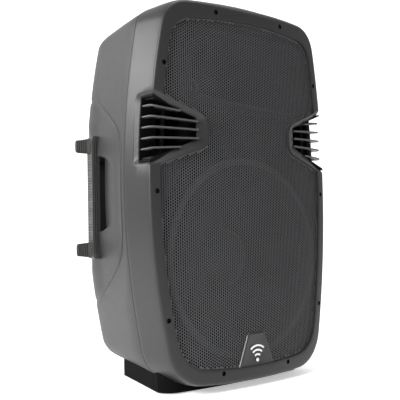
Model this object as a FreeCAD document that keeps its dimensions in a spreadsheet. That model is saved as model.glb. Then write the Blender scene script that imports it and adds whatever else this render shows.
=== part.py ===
import FreeCAD, Part

import math
import os

import Sketcher

Vector = FreeCAD.Vector
Rotation = FreeCAD.Rotation

# The cabinet stands on the floor at Z = 0, centred on X = 0, with its front towards -Y.
# Depths are counted from the front-most line of the front, towards the back.

doc = FreeCAD.newDocument("speaker_cabinet")

# ---------------------------------------------------------------- driving sizes

SIZES = {
    # whole cabinet
    "cabinet_width": 440,
    "cabinet_height": 697,
    "overall_depth": 374,
    "shell_depth": 365,
    "parting_depth": 97,
    "front_radius": 1053,
    "side_radius": 1376,
    "side_centre": 365,
    "top_radius": 1200,
    "top_corner": 56,
    "bottom_corner": 85,
    "shell_wall": 4,
    "back_half_width": 122,
    "back_top_drop": 47,
    "back_foot_rise": 60,
    "gasket_thickness": 1,
    # front board and grille
    "rim_width": 19,
    "board_depth": 32,
    "board_thickness": 12,
    "grille_recess": 5,
    "grille_thickness": 1.5,
    "rim_screw_head": 3.6,
    # vents
    "vent_inner": 124,
    "vent_low": 442.6,
    "vent_high": 478.5,
    "vent_mouth_low": 411,
    "vent_mouth_high": 507,
    "vent_back": 52,
    "vent_border": 13,
    "duct_length": 110,
    "duct_wall": 3,
    "fin_thickness": 4,
    "fin_chord": 13,
    # base
    "foot_height": 2,
    "foot_radius": 14,
    "plinth_front": 42,
    "plinth_back": 255,
    "plinth_half_width": 169,
    "plinth_height": 62,
    "plinth_wall": 5,
    "pole_depth": 190,
    "pole_bore": 18,
    "pole_length": 88,
    "pole_wall": 4,
    # woofer
    "woofer_height": 231,
    "frame_radius": 184,
    "frame_thickness": 6,
    "frame_hole": 168,
    "cone_radius": 148,
    "cone_depth": 66,
    "cone_neck": 38,
    "cone_thickness": 1.6,
    "cap_radius": 56,
    "pole_piece": 35.5,
    "coil_radius": 37,
    "coil_wall": 1.4,
    "plate_hole": 39.5,
    "plate_radius": 86,
    "plate_thickness": 9,
    "magnet_radius": 95,
    "magnet_thickness": 24,
    "magnet_setback": 92,
    # horn and its driver
    "horn_height": 574,
    "mouth_half_width": 150,
    "mouth_half_height": 66,
    "mouth_corner": 26,
    "horn_wall": 3,
    "horn_length": 135,
    "throat_radius": 12.7,
    "driver_radius": 52,
    "driver_bore": 24,
    "driver_plate": 9,
    "driver_magnet": 20,
    "driver_cap_length": 32,
    "dome_radius": 22,
    # amplifier panel
    "panel_half_width": 92,
    "panel_low": 112,
    "panel_high": 560,
    "panel_thickness": 3,
    "panel_recess": 12,
    "panel_corner": 8,
    "fin_count": 13,
    "knob_radius": 8,
    "knob_length": 13,
    "knob_gap": 0.5,
    "socket_half": 13,
    "socket_bore": 9.5,
    "socket_length": 26,
    # handles
    "handle_depth": 295,
    "handle_angle": 15.6,
    "grip_low": 232,
    "grip_high": 472,
    "hand_low": 284,
    "hand_high": 432,
    "grip_width": 30,
    "grip_thickness": 15,
    "grip_proud": 6,
    "cup_depth": 44,
    "cup_front": 45,
    "cup_slope": 85,
    "cup_back": 30,
    "cup_wall": 3,
    "bumper_length": 33,
    "bumper_height": 32,
    "bumper_angle": 49,
    "bumper_thickness": 19,
    "fit_gap": 0.3,
}

sheet = doc.addObject("Spreadsheet::Sheet", "sizes")
for row, (alias, number) in enumerate(SIZES.items(), start=1):
    sheet.set("A%d" % row, alias)
    sheet.set("B%d" % row, str(number))
    sheet.setAlias("B%d" % row, alias)
doc.recompute()


class Sizes:
    """Reads the sheet, for the shapes that are worked out in code."""

    def __getattr__(self, alias):
        return float(sheet.get(alias))


s = Sizes()
FRONT = "(-sizes.overall_depth / 2)"
nodes = []


def sized(expression):
    """An expression in which each size's alias is looked up in the sheet."""
    words = sorted(SIZES, key=len, reverse=True)
    text = str(expression)
    for word in words:
        text = text.replace(word, "<" + str(words.index(word)) + ">")
    for index, word in enumerate(words):
        text = text.replace("<" + str(index) + ">", "sizes." + word)
    return text


def number(expression):
    """The present value of such an expression, for a sketch's first guess."""
    probe.set("C1", "=" + sized(expression).replace("sizes.", "<<sizes>>."))
    probe.recompute()
    return float(probe.get("C1"))


probe = doc.addObject("Spreadsheet::Sheet", "probe")


def bind(feature, **rules):
    for name, expression in rules.items():
        feature.setExpression(name, sized(expression))
    return feature


def put(feature, across="0", depth="0", height="0", turn=None):
    """Places a feature by expressions; depth is counted from the front of the cabinet."""
    if turn is not None:
        feature.Placement = FreeCAD.Placement(Vector(), turn)
    feature.setExpression("Placement.Base.x", sized(across))
    feature.setExpression("Placement.Base.y", FRONT + " + " + sized(depth))
    feature.setExpression("Placement.Base.z", sized(height))
    return feature


def named(feature, label):
    """Marks a finished sub-part."""
    feature.Label = label
    nodes.append(feature)
    return feature


def origin_plane(body, role):
    return [plane for plane in body.Origin.OriginFeatures if plane.Role == role][0]


TO_BACK = Rotation(Vector(1, 0, 0), -90)
TO_FRONT = Rotation(Vector(1, 0, 0), 90)
UPRIGHT = Rotation()


def outline_sketch(body, role, corners):
    """A closed outline of straight sides whose corners follow expressions."""
    sketch = body.newObject("Sketcher::SketchObject", body.Name + "_outline")
    sketch.AttachmentSupport = [(origin_plane(body, role), "")]
    sketch.MapMode = "FlatFace"
    places = [Vector(number(a), number(b), 0) for a, b in corners]
    count = len(corners)
    for index in range(count):
        sketch.addGeometry(Part.LineSegment(places[index], places[(index + 1) % count]), False)
    for index in range(count):
        sketch.addConstraint(Sketcher.Constraint("Coincident", index, 2, (index + 1) % count, 1))
    for index, (a, b) in enumerate(corners):
        for kind, expression, guess in (
            ("DistanceX", a, places[index].x),
            ("DistanceY", b, places[index].y),
        ):
            rule = sketch.addConstraint(Sketcher.Constraint(kind, -1, 1, index, 1, guess))
            sketch.setExpression("Constraints[%d]" % rule, sized(expression))
    return sketch


def turned(label, profile, across, depth, height, turn=TO_BACK):
    """A round piece: a profile of (radius, distance along the axis) corners, revolved."""
    body = doc.addObject("PartDesign::Body", label)
    sketch = outline_sketch(body, "XZ_Plane", profile)
    doc.recompute()
    revolution = body.newObject("PartDesign::Revolution", label + "_turning")
    revolution.Profile = sketch
    revolution.ReferenceAxis = (sketch, ["V_Axis"])
    revolution.Angle = 360
    return put(body, across, depth, height, turn)


def slab(name, width, thickness, height, across, depth, low):
    """A box centred on its place across the cabinet, standing on a height."""
    box = doc.addObject("Part::Box", name)
    bind(box, Length=width, Width=thickness, Height=height)
    return put(box, "%s - (%s) / 2" % (across, width), depth, low)


def rod(name, radius, length, across, depth, height, turn=TO_BACK):
    cylinder = doc.addObject("Part::Cylinder", name)
    bind(cylinder, Radius=radius, Height=length)
    return put(cylinder, across, depth, height, turn)


def joined(name, pieces):
    fuse = doc.addObject("Part::MultiFuse", name)
    fuse.Shapes = pieces
    return fuse


def without(name, base, tools):
    """Base less its tools."""
    cut = doc.addObject("Part::Cut", name)
    cut.Base = base
    cut.Tool = tools[0] if len(tools) == 1 else joined(name + "_tools", tools)
    return cut


def grouped(label, pieces):
    group = doc.addObject("Part::Compound", label)
    group.Links = pieces
    return named(group, label)


def shaped(label, shape):
    """A sub-part whose shape is worked out in code."""
    feature = doc.addObject("Part::Feature", label)
    feature.Shape = shape
    return named(feature, label)


def fastener(name, head_radius, head, shank_radius, shank, across, depth, height, turn=TO_BACK):
    """A screw: its head starts at the given depth and its shank runs on from the head."""
    top = rod(name + "_head", head_radius, head, across, depth, height, turn)
    away = "(%s)" % head
    shank_depth = depth
    shank_height = height
    if turn is TO_BACK:
        shank_depth = "%s + %s" % (depth, away)
    elif turn is TO_FRONT:
        shank_depth = "%s - %s" % (depth, away)
    stem = rod(name + "_shank", shank_radius, shank, across, shank_depth, shank_height, turn)
    return joined(name, [top, stem])


# ---------------------------------------------------------------- outlines of the shells

FRONT_Y = -s.overall_depth / 2


def at(across, depth, height):
    return Vector(across, FRONT_Y + depth, height)


def corner_arc(first, first_radius, second, second_radius, radius, side, end):
    """Where a corner circle touches two outline circles that it lies inside.

    first and second are the (x, z) centres of the two circles. The answer is the corner's two
    tangent points and its middle point.
    """
    near = first_radius - radius
    far = second_radius - radius
    dx = second[0] - first[0]
    dz = second[1] - first[1]
    span = math.hypot(dx, dz)
    along = (near * near - far * far + span * span) / (2 * span)
    off = math.sqrt(near * near - along * along)
    choices = []
    for sign in (1, -1):
        x = first[0] + (along * dx - sign * off * dz) / span
        z = first[1] + (along * dz + sign * off * dx) / span
        choices.append((x, z))
    centre = max(choices, key=lambda place: place[0] * side + place[1] * end)
    touch = []
    for place, big in ((first, first_radius), (second, second_radius)):
        reach = math.hypot(centre[0] - place[0], centre[1] - place[1])
        ux = (centre[0] - place[0]) / reach
        uz = (centre[1] - place[1]) / reach
        touch.append((centre[0] + ux * radius, centre[1] + uz * radius))
    mid_x = (touch[0][0] + touch[1][0]) / 2 - centre[0]
    mid_z = (touch[0][1] + touch[1][1]) / 2 - centre[1]
    reach = math.hypot(mid_x, mid_z)
    middle = (centre[0] + mid_x / reach * radius, centre[1] + mid_z / reach * radius)
    return touch[0], middle, touch[1]


def outline(depth, half_width, top, bottom, top_corner, bottom_corner, level=None):
    """The cabinet's outline at one depth: bulging sides, top and bottom with round corners."""
    level = s.side_centre if level is None else level
    side_centre = (half_width - s.side_radius, level)
    top_centre = (0, top - s.top_radius)
    bottom_centre = (0, bottom + s.top_radius)
    upper = corner_arc(side_centre, s.side_radius, top_centre, s.top_radius, top_corner, 1, 1)
    lower = corner_arc(side_centre, s.side_radius, bottom_centre, s.top_radius, bottom_corner, 1, -1)

    def arc(start, through, finish):
        places = [at(x, depth, z) for x, z in (start, through, finish)]
        return Part.Arc(*places).toShape()

    def flip(place):
        return (-place[0], place[1])

    edges = [
        arc(lower[0], (half_width, level), upper[0]),
        arc(*upper),
        arc(upper[2], (0, top), flip(upper[2])),
        arc(flip(upper[2]), flip(upper[1]), flip(upper[0])),
        arc(flip(upper[0]), (-half_width, level), flip(lower[0])),
        arc(flip(lower[0]), flip(lower[1]), flip(lower[2])),
        arc(flip(lower[2]), (0, bottom), lower[2]),
        arc(lower[2], lower[1], lower[0]),
    ]
    return Part.Wire(edges)


def front_sections(inset):
    """Depth, half width, top, bottom and corners of the front moulding, less a wall."""
    half = s.cabinet_width / 2
    rows = [
        (-2, 8.5, 18.5, 16.5, 0, 0),
        (20, 2.6, 4.5, 9, 2, 0),
        (52, 0.6, 0.3, 6, 4, 0),
        (s.parting_depth, 0, 2, 6, 6, 0),
    ]
    return [
        (
            depth,
            half - narrower - inset,
            s.cabinet_height - lower_top - inset,
            rise + inset,
            s.top_corner + rounder - inset,
            s.bottom_corner - inset,
        )
        for depth, narrower, lower_top, rise, rounder, flat in rows
    ]


def back_sections(inset):
    """The same for the rear shell, which tapers and rounds off towards the back."""
    half = s.cabinet_width / 2
    taper = math.tan(math.radians(s.handle_angle))
    start = s.parting_depth + s.gasket_thickness
    reach = s.shell_depth - start
    rows = [
        (start, 0, 2, 6, 62, 85),
        (start + reach * 0.30, taper * reach * 0.30, 4, 25, 60, 76),
        (start + reach * 0.60, taper * reach * 0.60, 7, 36, 58, 66),
        (start + reach * 0.85, taper * reach * 0.85 + 3, 15, 42, 54, 58),
        (s.shell_depth, half - s.back_half_width, s.back_top_drop, s.back_foot_rise, 46, 46),
    ]
    return [
        (depth, half - narrower - inset, s.cabinet_height - drop - inset, rise + inset, top - inset / 2, foot - inset / 2)
        for depth, narrower, drop, rise, top, foot in rows
    ]


def lofted(sections, ruled=False):
    wires = [outline(*section) for section in sections]
    return Part.makeLoft(wires, True, ruled)


def prism(wire, start, length):
    """A wire in the plane of the front, pushed back from a depth."""
    face = Part.Face(wire)
    face.translate(Vector(0, start, 0))
    return face.extrude(Vector(0, length, 0))


def curved_slice(offset, thickness):
    """The space between two cylinders that follow the front's curve."""
    tall = s.cabinet_height * 2
    centre = at(0, s.front_radius, -s.cabinet_height / 2)
    outer = Part.makeCylinder(s.front_radius - offset, tall, centre)
    inner = Part.makeCylinder(s.front_radius - offset - thickness, tall, centre)
    return outer.cut(inner)


def curved_block(offset):
    """Everything behind the front's curve, moved back by an offset."""
    tall = s.cabinet_height * 2
    return Part.makeCylinder(s.front_radius - offset, tall, at(0, s.front_radius, -s.cabinet_height / 2))


def polygon_prism(corners, start, length):
    places = [at(x, 0, z) for x, z in corners]
    return prism(Part.makePolygon(places + places[:1]), start, length)


def mirrored(shape):
    return shape.mirror(Vector(0, 0, 0), Vector(1, 0, 0))


def both(shape):
    return [shape, mirrored(shape)]


outer_front = lofted(front_sections(0)).common(curved_block(0))
inner_front = lofted(front_sections(s.shell_wall))
outer_back = lofted(back_sections(0))
inner_back_rows = back_sections(s.shell_wall)
first_row = inner_back_rows[0]
last_row = inner_back_rows[-1]
inner_back_rows[-1] = (s.shell_depth - s.shell_wall,) + last_row[1:]
inner_back = lofted(inner_back_rows)

# ---------------------------------------------------------------- front moulding

# The grille lies in a recess whose edge is the front's outline less the rim, with a notch at
# each side around the vent.
rim_row = front_sections(0)[0]


def recess_outline(inset):
    """The recess's edge, less a gap for what lies in it."""
    return outline(
        0,
        rim_row[1] + 6 - s.rim_width - inset,
        rim_row[2] - s.rim_width + 1 - inset,
        rim_row[3] + s.rim_width + 2 + inset,
        s.top_corner - s.rim_width + 8 - inset,
        s.bottom_corner - s.rim_width - inset,
    )


def notch(border, start, length, reach=60):
    """The vent's notch, wider towards the side; border is added all round."""
    far = s.cabinet_width / 2 + reach
    edge = s.cabinet_width / 2 - 20
    widening = (s.vent_mouth_high - s.vent_high) / (edge - s.vent_inner)
    low_widening = (s.vent_low - s.vent_mouth_low) / (edge - s.vent_inner)
    inner = s.vent_inner - border
    corners = [
        (inner, s.vent_low - border / 2),
        (inner, s.vent_high + border / 2),
        (far, s.vent_high + border + widening * (far - s.vent_inner)),
        (far, s.vent_low - border - low_widening * (far - s.vent_inner)),
    ]
    return polygon_prism(corners, start, length)


def mouth_wire(half_width, half_height, corner, depth):
    """A rectangle with round corners around the horn's axis."""
    edges = []
    low = s.horn_height - half_height
    high = s.horn_height + half_height
    bend = corner * (1 - math.sqrt(0.5))
    stops = [
        ((half_width, low + corner), (half_width, high - corner)),
        ((half_width, high - corner), (half_width - bend, high - bend), (half_width - corner, high)),
        ((half_width - corner, high), (-half_width + corner, high)),
        ((-half_width + corner, high), (-half_width + bend, high - bend), (-half_width, high - corner)),
        ((-half_width, high - corner), (-half_width, low + corner)),
        ((-half_width, low + corner), (-half_width + bend, low + bend), (-half_width + corner, low)),
        ((-half_width + corner, low), (half_width - corner, low)),
        ((half_width - corner, low), (half_width - bend, low + bend), (half_width, low + corner)),
    ]
    for stop in stops:
        places = [at(x, depth, z) for x, z in stop]
        if len(places) == 2:
            edges.append(Part.makeLine(*places))
        else:
            edges.append(Part.Arc(*places).toShape())
    return Part.Wire(edges)


board_back = s.board_depth + s.board_thickness
duct_low = s.vent_low - 12
duct_high = s.vent_high + 12
duct_outer = s.cabinet_width / 2 - 36


def duct_block(extra):
    """The outside of one vent's box behind the front, with room all round."""
    mouth = notch(s.duct_wall + extra, 0, s.vent_back + s.duct_wall + extra, 0)
    low = duct_low - s.duct_wall - extra
    tunnel = Part.makeBox(
        duct_outer - s.vent_inner + 2 * (s.duct_wall + extra),
        s.duct_length,
        duct_high - duct_low + 2 * (s.duct_wall + extra),
        at(s.vent_inner - s.duct_wall - extra, s.vent_back, low),
    )
    return mouth, tunnel


def drilled(shape, spots, radius, start, length):
    """A shape with straight holes at (across, height) spots, from a depth backwards."""
    tools = [Part.makeCylinder(radius, length, at(x, start, z), Vector(0, 1, 0)) for x, z in spots]
    return shape.cut(Part.makeCompound(tools))


def ring_spots(count, radius, offset, height):
    """Places spread evenly round a circle."""
    turns = [math.radians(360.0 * index / count + offset) for index in range(count)]
    return [(radius * math.cos(turn), height + radius * math.sin(turn)) for turn in turns]


def woofer_screw_spots():
    return ring_spots(8, (s.frame_radius + s.frame_hole + 4) / 2, 22.5, s.woofer_height)


def driver_bolt_spots():
    return ring_spots(4, s.driver_radius - 14, 45, s.horn_height)


def horn_screw_spots():
    side = s.mouth_half_width - 16
    up = s.mouth_half_height + 5
    return [(side * x, s.horn_height + up * z) for z in (-1, 1) for x in (-1, 0, 1)]


RIM_SCREWS = [(188.9, 569.7), (205.7, 351), (188.9, 133.3), (81.4, 670.3), (80.9, 32.8)]


def front_depth(across):
    """How far the front's curve has fallen back at a place across the cabinet."""
    return s.front_radius - math.sqrt(s.front_radius ** 2 - across ** 2)


def make_front_baffle():
    shell = outer_front.cut(inner_front.common(prism_behind(board_back)))
    recess = prism(recess_outline(0), -5, s.board_depth + 5)
    shell = shell.cut(recess.cut(Part.makeCompound(both(notch(s.vent_border, -10, 80)))))
    hole = Part.makeCylinder(
        s.frame_hole + 3, 60, at(0, s.board_depth - 20, s.woofer_height), Vector(0, 1, 0)
    )
    mouth = mouth_wire(
        s.mouth_half_width + s.horn_wall + 1,
        s.mouth_half_height + s.horn_wall + 1,
        s.mouth_corner + s.horn_wall + 1,
        s.board_depth - 5,
    )
    tools = [hole, prism(mouth, 0, 40)]
    for side in both(notch(0, -10, s.vent_back + 10)):
        tools.append(side)
    for part in duct_block(s.fit_gap):
        behind = part.common(prism_behind(s.board_depth - 12))
        tools.extend(both(behind))
    for across, height in RIM_SCREWS:
        for side in (across, -across):
            start = at(side, front_depth(across) - 1, height)
            tools.append(Part.makeCylinder(s.rim_screw_head + 0.4, 3.2, start, Vector(0, 1, 0)))
            tools.append(Part.makeCylinder(1.8, 16, start, Vector(0, 1, 0)))
    shell = shell.cut(Part.makeCompound(tools))
    shell = drilled(shell, woofer_screw_spots(), 2.6, s.board_depth - 1, 20)
    return drilled(shell, horn_screw_spots(), 2.0, s.board_depth - 1, 20)


def prism_behind(depth):
    """Everything behind a depth."""
    wide = s.cabinet_width * 2
    return Part.makeBox(wide, wide, s.cabinet_height * 2, at(-wide / 2, depth, -s.cabinet_height / 2))


front_baffle = make_front_baffle()
shaped("front_baffle", front_baffle)


def make_grille():
    sheet_metal = curved_slice(s.grille_recess, s.grille_thickness)
    inside = prism(recess_outline(s.fit_gap), -5, s.board_depth + 5)
    sides = Part.makeCompound(both(notch(s.vent_border + s.fit_gap, -10, 80)))
    return sheet_metal.common(inside).cut(sides)


shaped("grille", make_grille())


def rim_screws():
    pieces = []
    for row, (across, height) in enumerate(RIM_SCREWS):
        for side, place in (("left", -across), ("right", across)):
            name = "rim_screw_%s_%d" % (side, row)
            depth = front_depth(across) - 0.4
            pieces.append(fastener(name, "rim_screw_head", "2.6", "1.7", "12", place, depth, height))
    grouped("rim_screws", pieces)


rim_screws()

# ---------------------------------------------------------------- badge

BADGE_TOP = 97
BADGE_FOOT = 32
BADGE_HEIGHT = BADGE_TOP - BADGE_FOOT


def make_badge(offset, thickness):
    corners = [(-45, BADGE_FOOT), (45, BADGE_FOOT), (20, BADGE_TOP), (-20, BADGE_TOP)]
    block = polygon_prism(corners, -20, 60)
    upright = [edge for edge in block.Edges if abs(edge.tangentAt(edge.FirstParameter).y) > 0.99]
    plate = block.makeFillet(5, upright).common(curved_slice(offset, thickness))
    return plate.common(prism(recess_outline(s.fit_gap), -5, s.board_depth))


badge_top_face = s.grille_recess - 3
shaped("badge_plate", make_badge(badge_top_face, 3 - 0.02))


def make_badge_mark():
    """Three nested arcs over a dot, a plain sign for sound."""
    centre = Vector(0, 0, BADGE_FOOT + 15)
    blocks = [Part.makeCylinder(3.2, 60, at(0, -20, centre.z), Vector(0, 1, 0))]
    wedge = polygon_prism([(0, centre.z), (60, centre.z + 75), (-60, centre.z + 75)], -20, 60)
    for radius in (10, 18, 26):
        ring = Part.makeCylinder(radius + 1.6, 60, at(0, -20, centre.z), Vector(0, 1, 0))
        hole = Part.makeCylinder(radius - 1.6, 60, at(0, -20, centre.z), Vector(0, 1, 0))
        blocks.append(ring.cut(hole).common(wedge))
    layer = curved_slice(badge_top_face - 0.8, 0.8)
    return Part.makeCompound([block.common(layer).Solids[0] for block in blocks])


shaped("badge_mark", make_badge_mark())

# ---------------------------------------------------------------- vents


def make_duct():
    """A vent's box: its mouth behind the notch and a tunnel into the cabinet, all walls thin."""
    mouth, tunnel = duct_block(0)
    mouth = mouth.common(outer_front).common(prism_behind(s.board_depth - 10))
    block = mouth.fuse(tunnel)
    hollow = notch(0, -10, s.vent_back + 10)
    opening = Part.makeBox(
        duct_outer - s.vent_inner,
        s.duct_length + 20,
        duct_high - duct_low,
        at(s.vent_inner, s.vent_back - 10, duct_low),
    )
    return block.cut(hollow).cut(opening).removeSplitter()


duct = make_duct()
shaped("vent_duct_right", duct)
shaped("vent_duct_left", mirrored(duct))


def make_fins():
    """Five blades that follow the cabinet's outside round the corner, on one spine."""
    side_heights = [422.8, 441.0, 459.9, 478.3, 497.2]
    front_heights = [427.0, 443.5, 458.5, 473.0, 489.5]
    inner_ends = [163, s.vent_inner, s.vent_inner, s.vent_inner, 165]
    skin = outer_front.cut(lofted(front_sections(s.fin_chord)).common(curved_block(s.fin_chord)))
    room = notch(-0.4, -10, s.vent_back + 9.6)
    blades = []
    for side, front, inner in zip(side_heights, front_heights, inner_ends):
        half = s.fin_thickness / 2
        outer = s.cabinet_width / 2 + 5
        corners = [
            (inner - 6, front - half),
            (outer, side - half),
            (outer, side + half),
            (inner - 6, front + half),
        ]
        blade = polygon_prism(corners, -10, s.vent_back + 9.6)
        blades.append(blade.common(skin).common(room))
    spine_across = s.cabinet_width / 2 - 34
    spine = Part.makeBox(
        5, 12, 74, at(spine_across, front_depth(spine_across) + s.fin_chord - 6, side_heights[0] - 1)
    ).common(room)
    return blades[0].multiFuse(blades[1:] + [spine]).removeSplitter()


fins = make_fins()
shaped("vent_fins_right", fins)
shaped("vent_fins_left", mirrored(fins))

# ---------------------------------------------------------------- handles

hand_angle = math.radians(s.handle_angle)


def side_at(depth):
    """Half width of the rear shell's side at a depth."""
    start = s.parting_depth + s.gasket_thickness
    return s.cabinet_width / 2 - math.tan(hand_angle) * (depth - start)


def on_side(shape):
    """Moves a shape from the handle's own frame, X outwards and Y backwards, to the right side."""
    shape.rotate(Vector(), Vector(0, 0, 1), s.handle_angle)
    shape.translate(at(side_at(s.handle_depth) - 2, s.handle_depth, 0))
    return shape


def grip_block(extra):
    """The grip bar's outline with its ends, plain."""
    low = s.grip_low - extra
    high = s.grip_high + extra
    return Part.makeBox(
        s.grip_thickness + 2 * extra,
        s.grip_width + 2 * extra,
        high - low,
        Vector(s.grip_proud - s.grip_thickness - extra, -s.grip_width / 2 - extra, low),
    )


def pocket_prism(extra, low, high):
    """The hand pocket: its front wall slopes in from the side, and extra is added all round."""
    depth = s.cup_depth - s.cup_wall
    reach = 40
    shift = extra * math.hypot(depth, s.cup_slope) / depth
    inner = -depth - extra

    def front_line(across):
        return -s.cup_front - s.cup_slope * (across + depth) / depth - shift

    corners = [
        (inner, front_line(inner)),
        (inner, s.cup_back + extra),
        (reach, s.cup_back + extra),
        (reach, front_line(reach)),
    ]
    places = [Vector(x, y, low) for x, y in corners]
    face = Part.Face(Part.makePolygon(places + places[:1]))
    return face.extrude(Vector(0, 0, high - low))


def cup_block(extra):
    """The hand pocket's outside."""
    edge = s.cup_wall + extra
    return pocket_prism(edge, s.hand_low - edge, s.hand_high + edge)


def make_grip():
    block = grip_block(0)
    upright = [edge for edge in block.Edges if abs(edge.tangentAt(edge.FirstParameter).z) > 0.99]
    return on_side(block.makeFillet(5, upright))


def make_cup():
    hollow = pocket_prism(0, s.hand_low, s.hand_high)
    cup = on_side(cup_block(0).cut(hollow).cut(grip_block(s.fit_gap / 3)))
    return cup.common(mirror_free_outer)


def make_bumpers():
    """Two stubby rubber blocks at the ends of the bar, pointing out and back."""
    blocks = []
    tip = 4
    for low in (s.grip_low + 1, s.grip_high - s.bumper_height - 1):
        wedge = Part.makePolygon(
            [
                Vector(0, 0, low),
                Vector(s.bumper_length, 0, low + tip),
                Vector(s.bumper_length, 0, low + s.bumper_height - tip),
                Vector(0, 0, low + s.bumper_height),
                Vector(0, 0, low),
            ]
        )
        block = Part.Face(wedge).extrude(Vector(0, s.bumper_thickness, 0))
        block.translate(Vector(0, -s.bumper_thickness / 2, 0))
        ends = [edge for edge in block.Edges if edge.BoundBox.XMin > s.bumper_length - 1]
        block = block.makeFillet(3, ends)
        block.rotate(Vector(), Vector(0, 0, 1), s.bumper_angle - s.handle_angle)
        block.translate(Vector(s.grip_proud - 9, 2, 0))
        blocks.append(on_side(block.cut(grip_block(0))))
    return blocks


# ---------------------------------------------------------------- rear shell

panel_plane = s.shell_depth - s.panel_recess
panel_middle = (s.panel_low + s.panel_high) / 2
mirror_free_outer = outer_back


def panel_box(extra, start, length):
    wide = 2 * (s.panel_half_width + extra)
    tall = s.panel_high - s.panel_low + 2 * extra
    box = Part.makeBox(
        wide, length, tall, at(-wide / 2, start, panel_middle - tall / 2)
    )
    along = [edge for edge in box.Edges if abs(edge.tangentAt(edge.FirstParameter).y) > 0.99]
    return box.makeFillet(max(s.panel_corner + extra, 2), along)


def panel_screw_spots():
    low = s.panel_low + 4.5
    high = s.panel_high - 4.5
    side = s.panel_half_width - 4.5
    rows = [low + (high - low) * step / 4 for step in range(5)]
    return [(x, z) for x in (-side, side) for z in rows]


def make_rear_shell():
    shell = outer_back.cut(inner_back)
    tray = panel_box(s.shell_wall, panel_plane - s.shell_wall, s.panel_recess + s.shell_wall)
    shell = shell.fuse(tray.common(outer_back))
    shell = shell.cut(panel_box(0.5, panel_plane, 40))
    shell = shell.cut(panel_box(-10, panel_plane - 20, 60))
    tools = both(on_side(cup_block(s.fit_gap / 3)))
    tools += both(on_side(grip_block(s.fit_gap / 3)))
    tools.append(Part.makeCylinder(s.pole_bore + s.pole_wall + 0.2, 130, at(0, s.pole_depth, 0)))
    for block in make_bumpers():
        tools.extend(both(block))
    shell = shell.cut(Part.makeCompound(tools))
    shell = drilled(shell, panel_screw_spots(), 1.8, panel_plane - 20, 30)
    return max(shell.Solids, key=lambda solid: solid.Volume)


rear_shell = make_rear_shell()
shaped("rear_shell", rear_shell)

gasket_rows = front_sections(0)[-1]


def make_shell_gasket():
    row = front_sections(0.4)[-1]
    inner = front_sections(s.shell_wall - 0.4)[-1]
    ring = prism(outline(*row), 0, s.gasket_thickness)
    return ring.cut(prism(outline(*inner), 0, s.gasket_thickness))


shaped("shell_gasket", make_shell_gasket())

grip = make_grip()
shaped("grip_bar_right", grip)
shaped("grip_bar_left", mirrored(grip))
cup = make_cup()
shaped("handle_cup_right", cup)
shaped("handle_cup_left", mirrored(cup))
bumpers = make_bumpers()
shaped("bumpers_right", Part.makeCompound(bumpers))
shaped("bumpers_left", Part.makeCompound([mirrored(block) for block in bumpers]))

# ---------------------------------------------------------------- base and pole socket


def plinth_wire(inset, height):
    """The base's outline: a curved front, round corners and sides that taper to the back."""
    half = s.plinth_half_width - inset
    front = s.plinth_front + inset
    corner = 24 - inset / 2
    taper = math.tan(hand_angle)
    side_start = front + front_depth(half) + corner
    back = s.plinth_back - inset
    back_half = half - taper * (back - side_start)
    near = (half - corner * 0.3, front + front_depth(half) + corner * 0.3)
    shoulder = (half - corner, front + front_depth(half - corner))

    def spot(place, side=1):
        return at(place[0] * side, place[1], height)

    corner_side = (half, side_start)
    back_corner = (back_half, back)
    return Part.Wire(
        [
            Part.Arc(spot(shoulder, -1), at(0, front, height), spot(shoulder)).toShape(),
            Part.Arc(spot(shoulder), spot(near), spot(corner_side)).toShape(),
            Part.makeLine(spot(corner_side), spot(back_corner)),
            Part.makeLine(spot(back_corner), spot(back_corner, -1)),
            Part.makeLine(spot(back_corner, -1), spot(corner_side, -1)),
            Part.Arc(spot(corner_side, -1), spot(near, -1), spot(shoulder, -1)).toShape(),
        ]
    )


def make_plinth():
    low = s.foot_height
    rise = Vector(0, 0, s.plinth_height)
    block = Part.Face(plinth_wire(0, low)).extrude(rise)
    hollow = Part.Face(plinth_wire(s.plinth_wall, low + s.plinth_wall)).extrude(rise)
    post = Part.makeCylinder(s.pole_bore + s.pole_wall + 8, s.plinth_height, at(0, s.pole_depth, low))
    block = block.cut(hollow).fuse(post)
    block = block.cut(outer_front).cut(outer_back)
    gap = prism_behind(s.parting_depth).common(block)
    gap = gap.cut(prism_behind(s.parting_depth + s.gasket_thickness))
    bottom_line = front_sections(0)[-1][3]
    above = Part.makeBox(900, 900, 900, at(-450, -450, bottom_line))
    block = block.cut(gap.common(above))
    bore = Part.makeCylinder(s.pole_bore + s.pole_wall + 0.1, 200, at(0, s.pole_depth, -20))
    block = block.cut(bore)
    return max(block.Solids, key=lambda solid: solid.Volume)


shaped("base_plinth", make_plinth())


def rubber_feet():
    pieces = []
    spots = [(-120, 88), (120, 88), (-85, 228), (85, 228)]
    for index, (across, depth) in enumerate(spots):
        pieces.append(
            rod("foot_%d" % index, "foot_radius", "foot_height", across, depth, "0", UPRIGHT)
        )
    grouped("rubber_feet", pieces)


rubber_feet()

named(
    turned(
        "pole_socket",
        [
            ("pole_bore", "0"),
            ("pole_bore + pole_wall", "0"),
            ("pole_bore + pole_wall", "pole_length + pole_wall"),
            ("0", "pole_length + pole_wall"),
            ("0", "pole_length"),
            ("pole_bore", "pole_length"),
        ],
        "0",
        "pole_depth",
        "foot_height",
        UPRIGHT,
    ),
    "pole_socket",
)

# ---------------------------------------------------------------- woofer

# Distances along the woofer's axis are counted from the front board's face, towards the back.
WOOFER = ("0", "board_depth", "woofer_height")
BACK_OF_FRAME = "magnet_setback"


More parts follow.
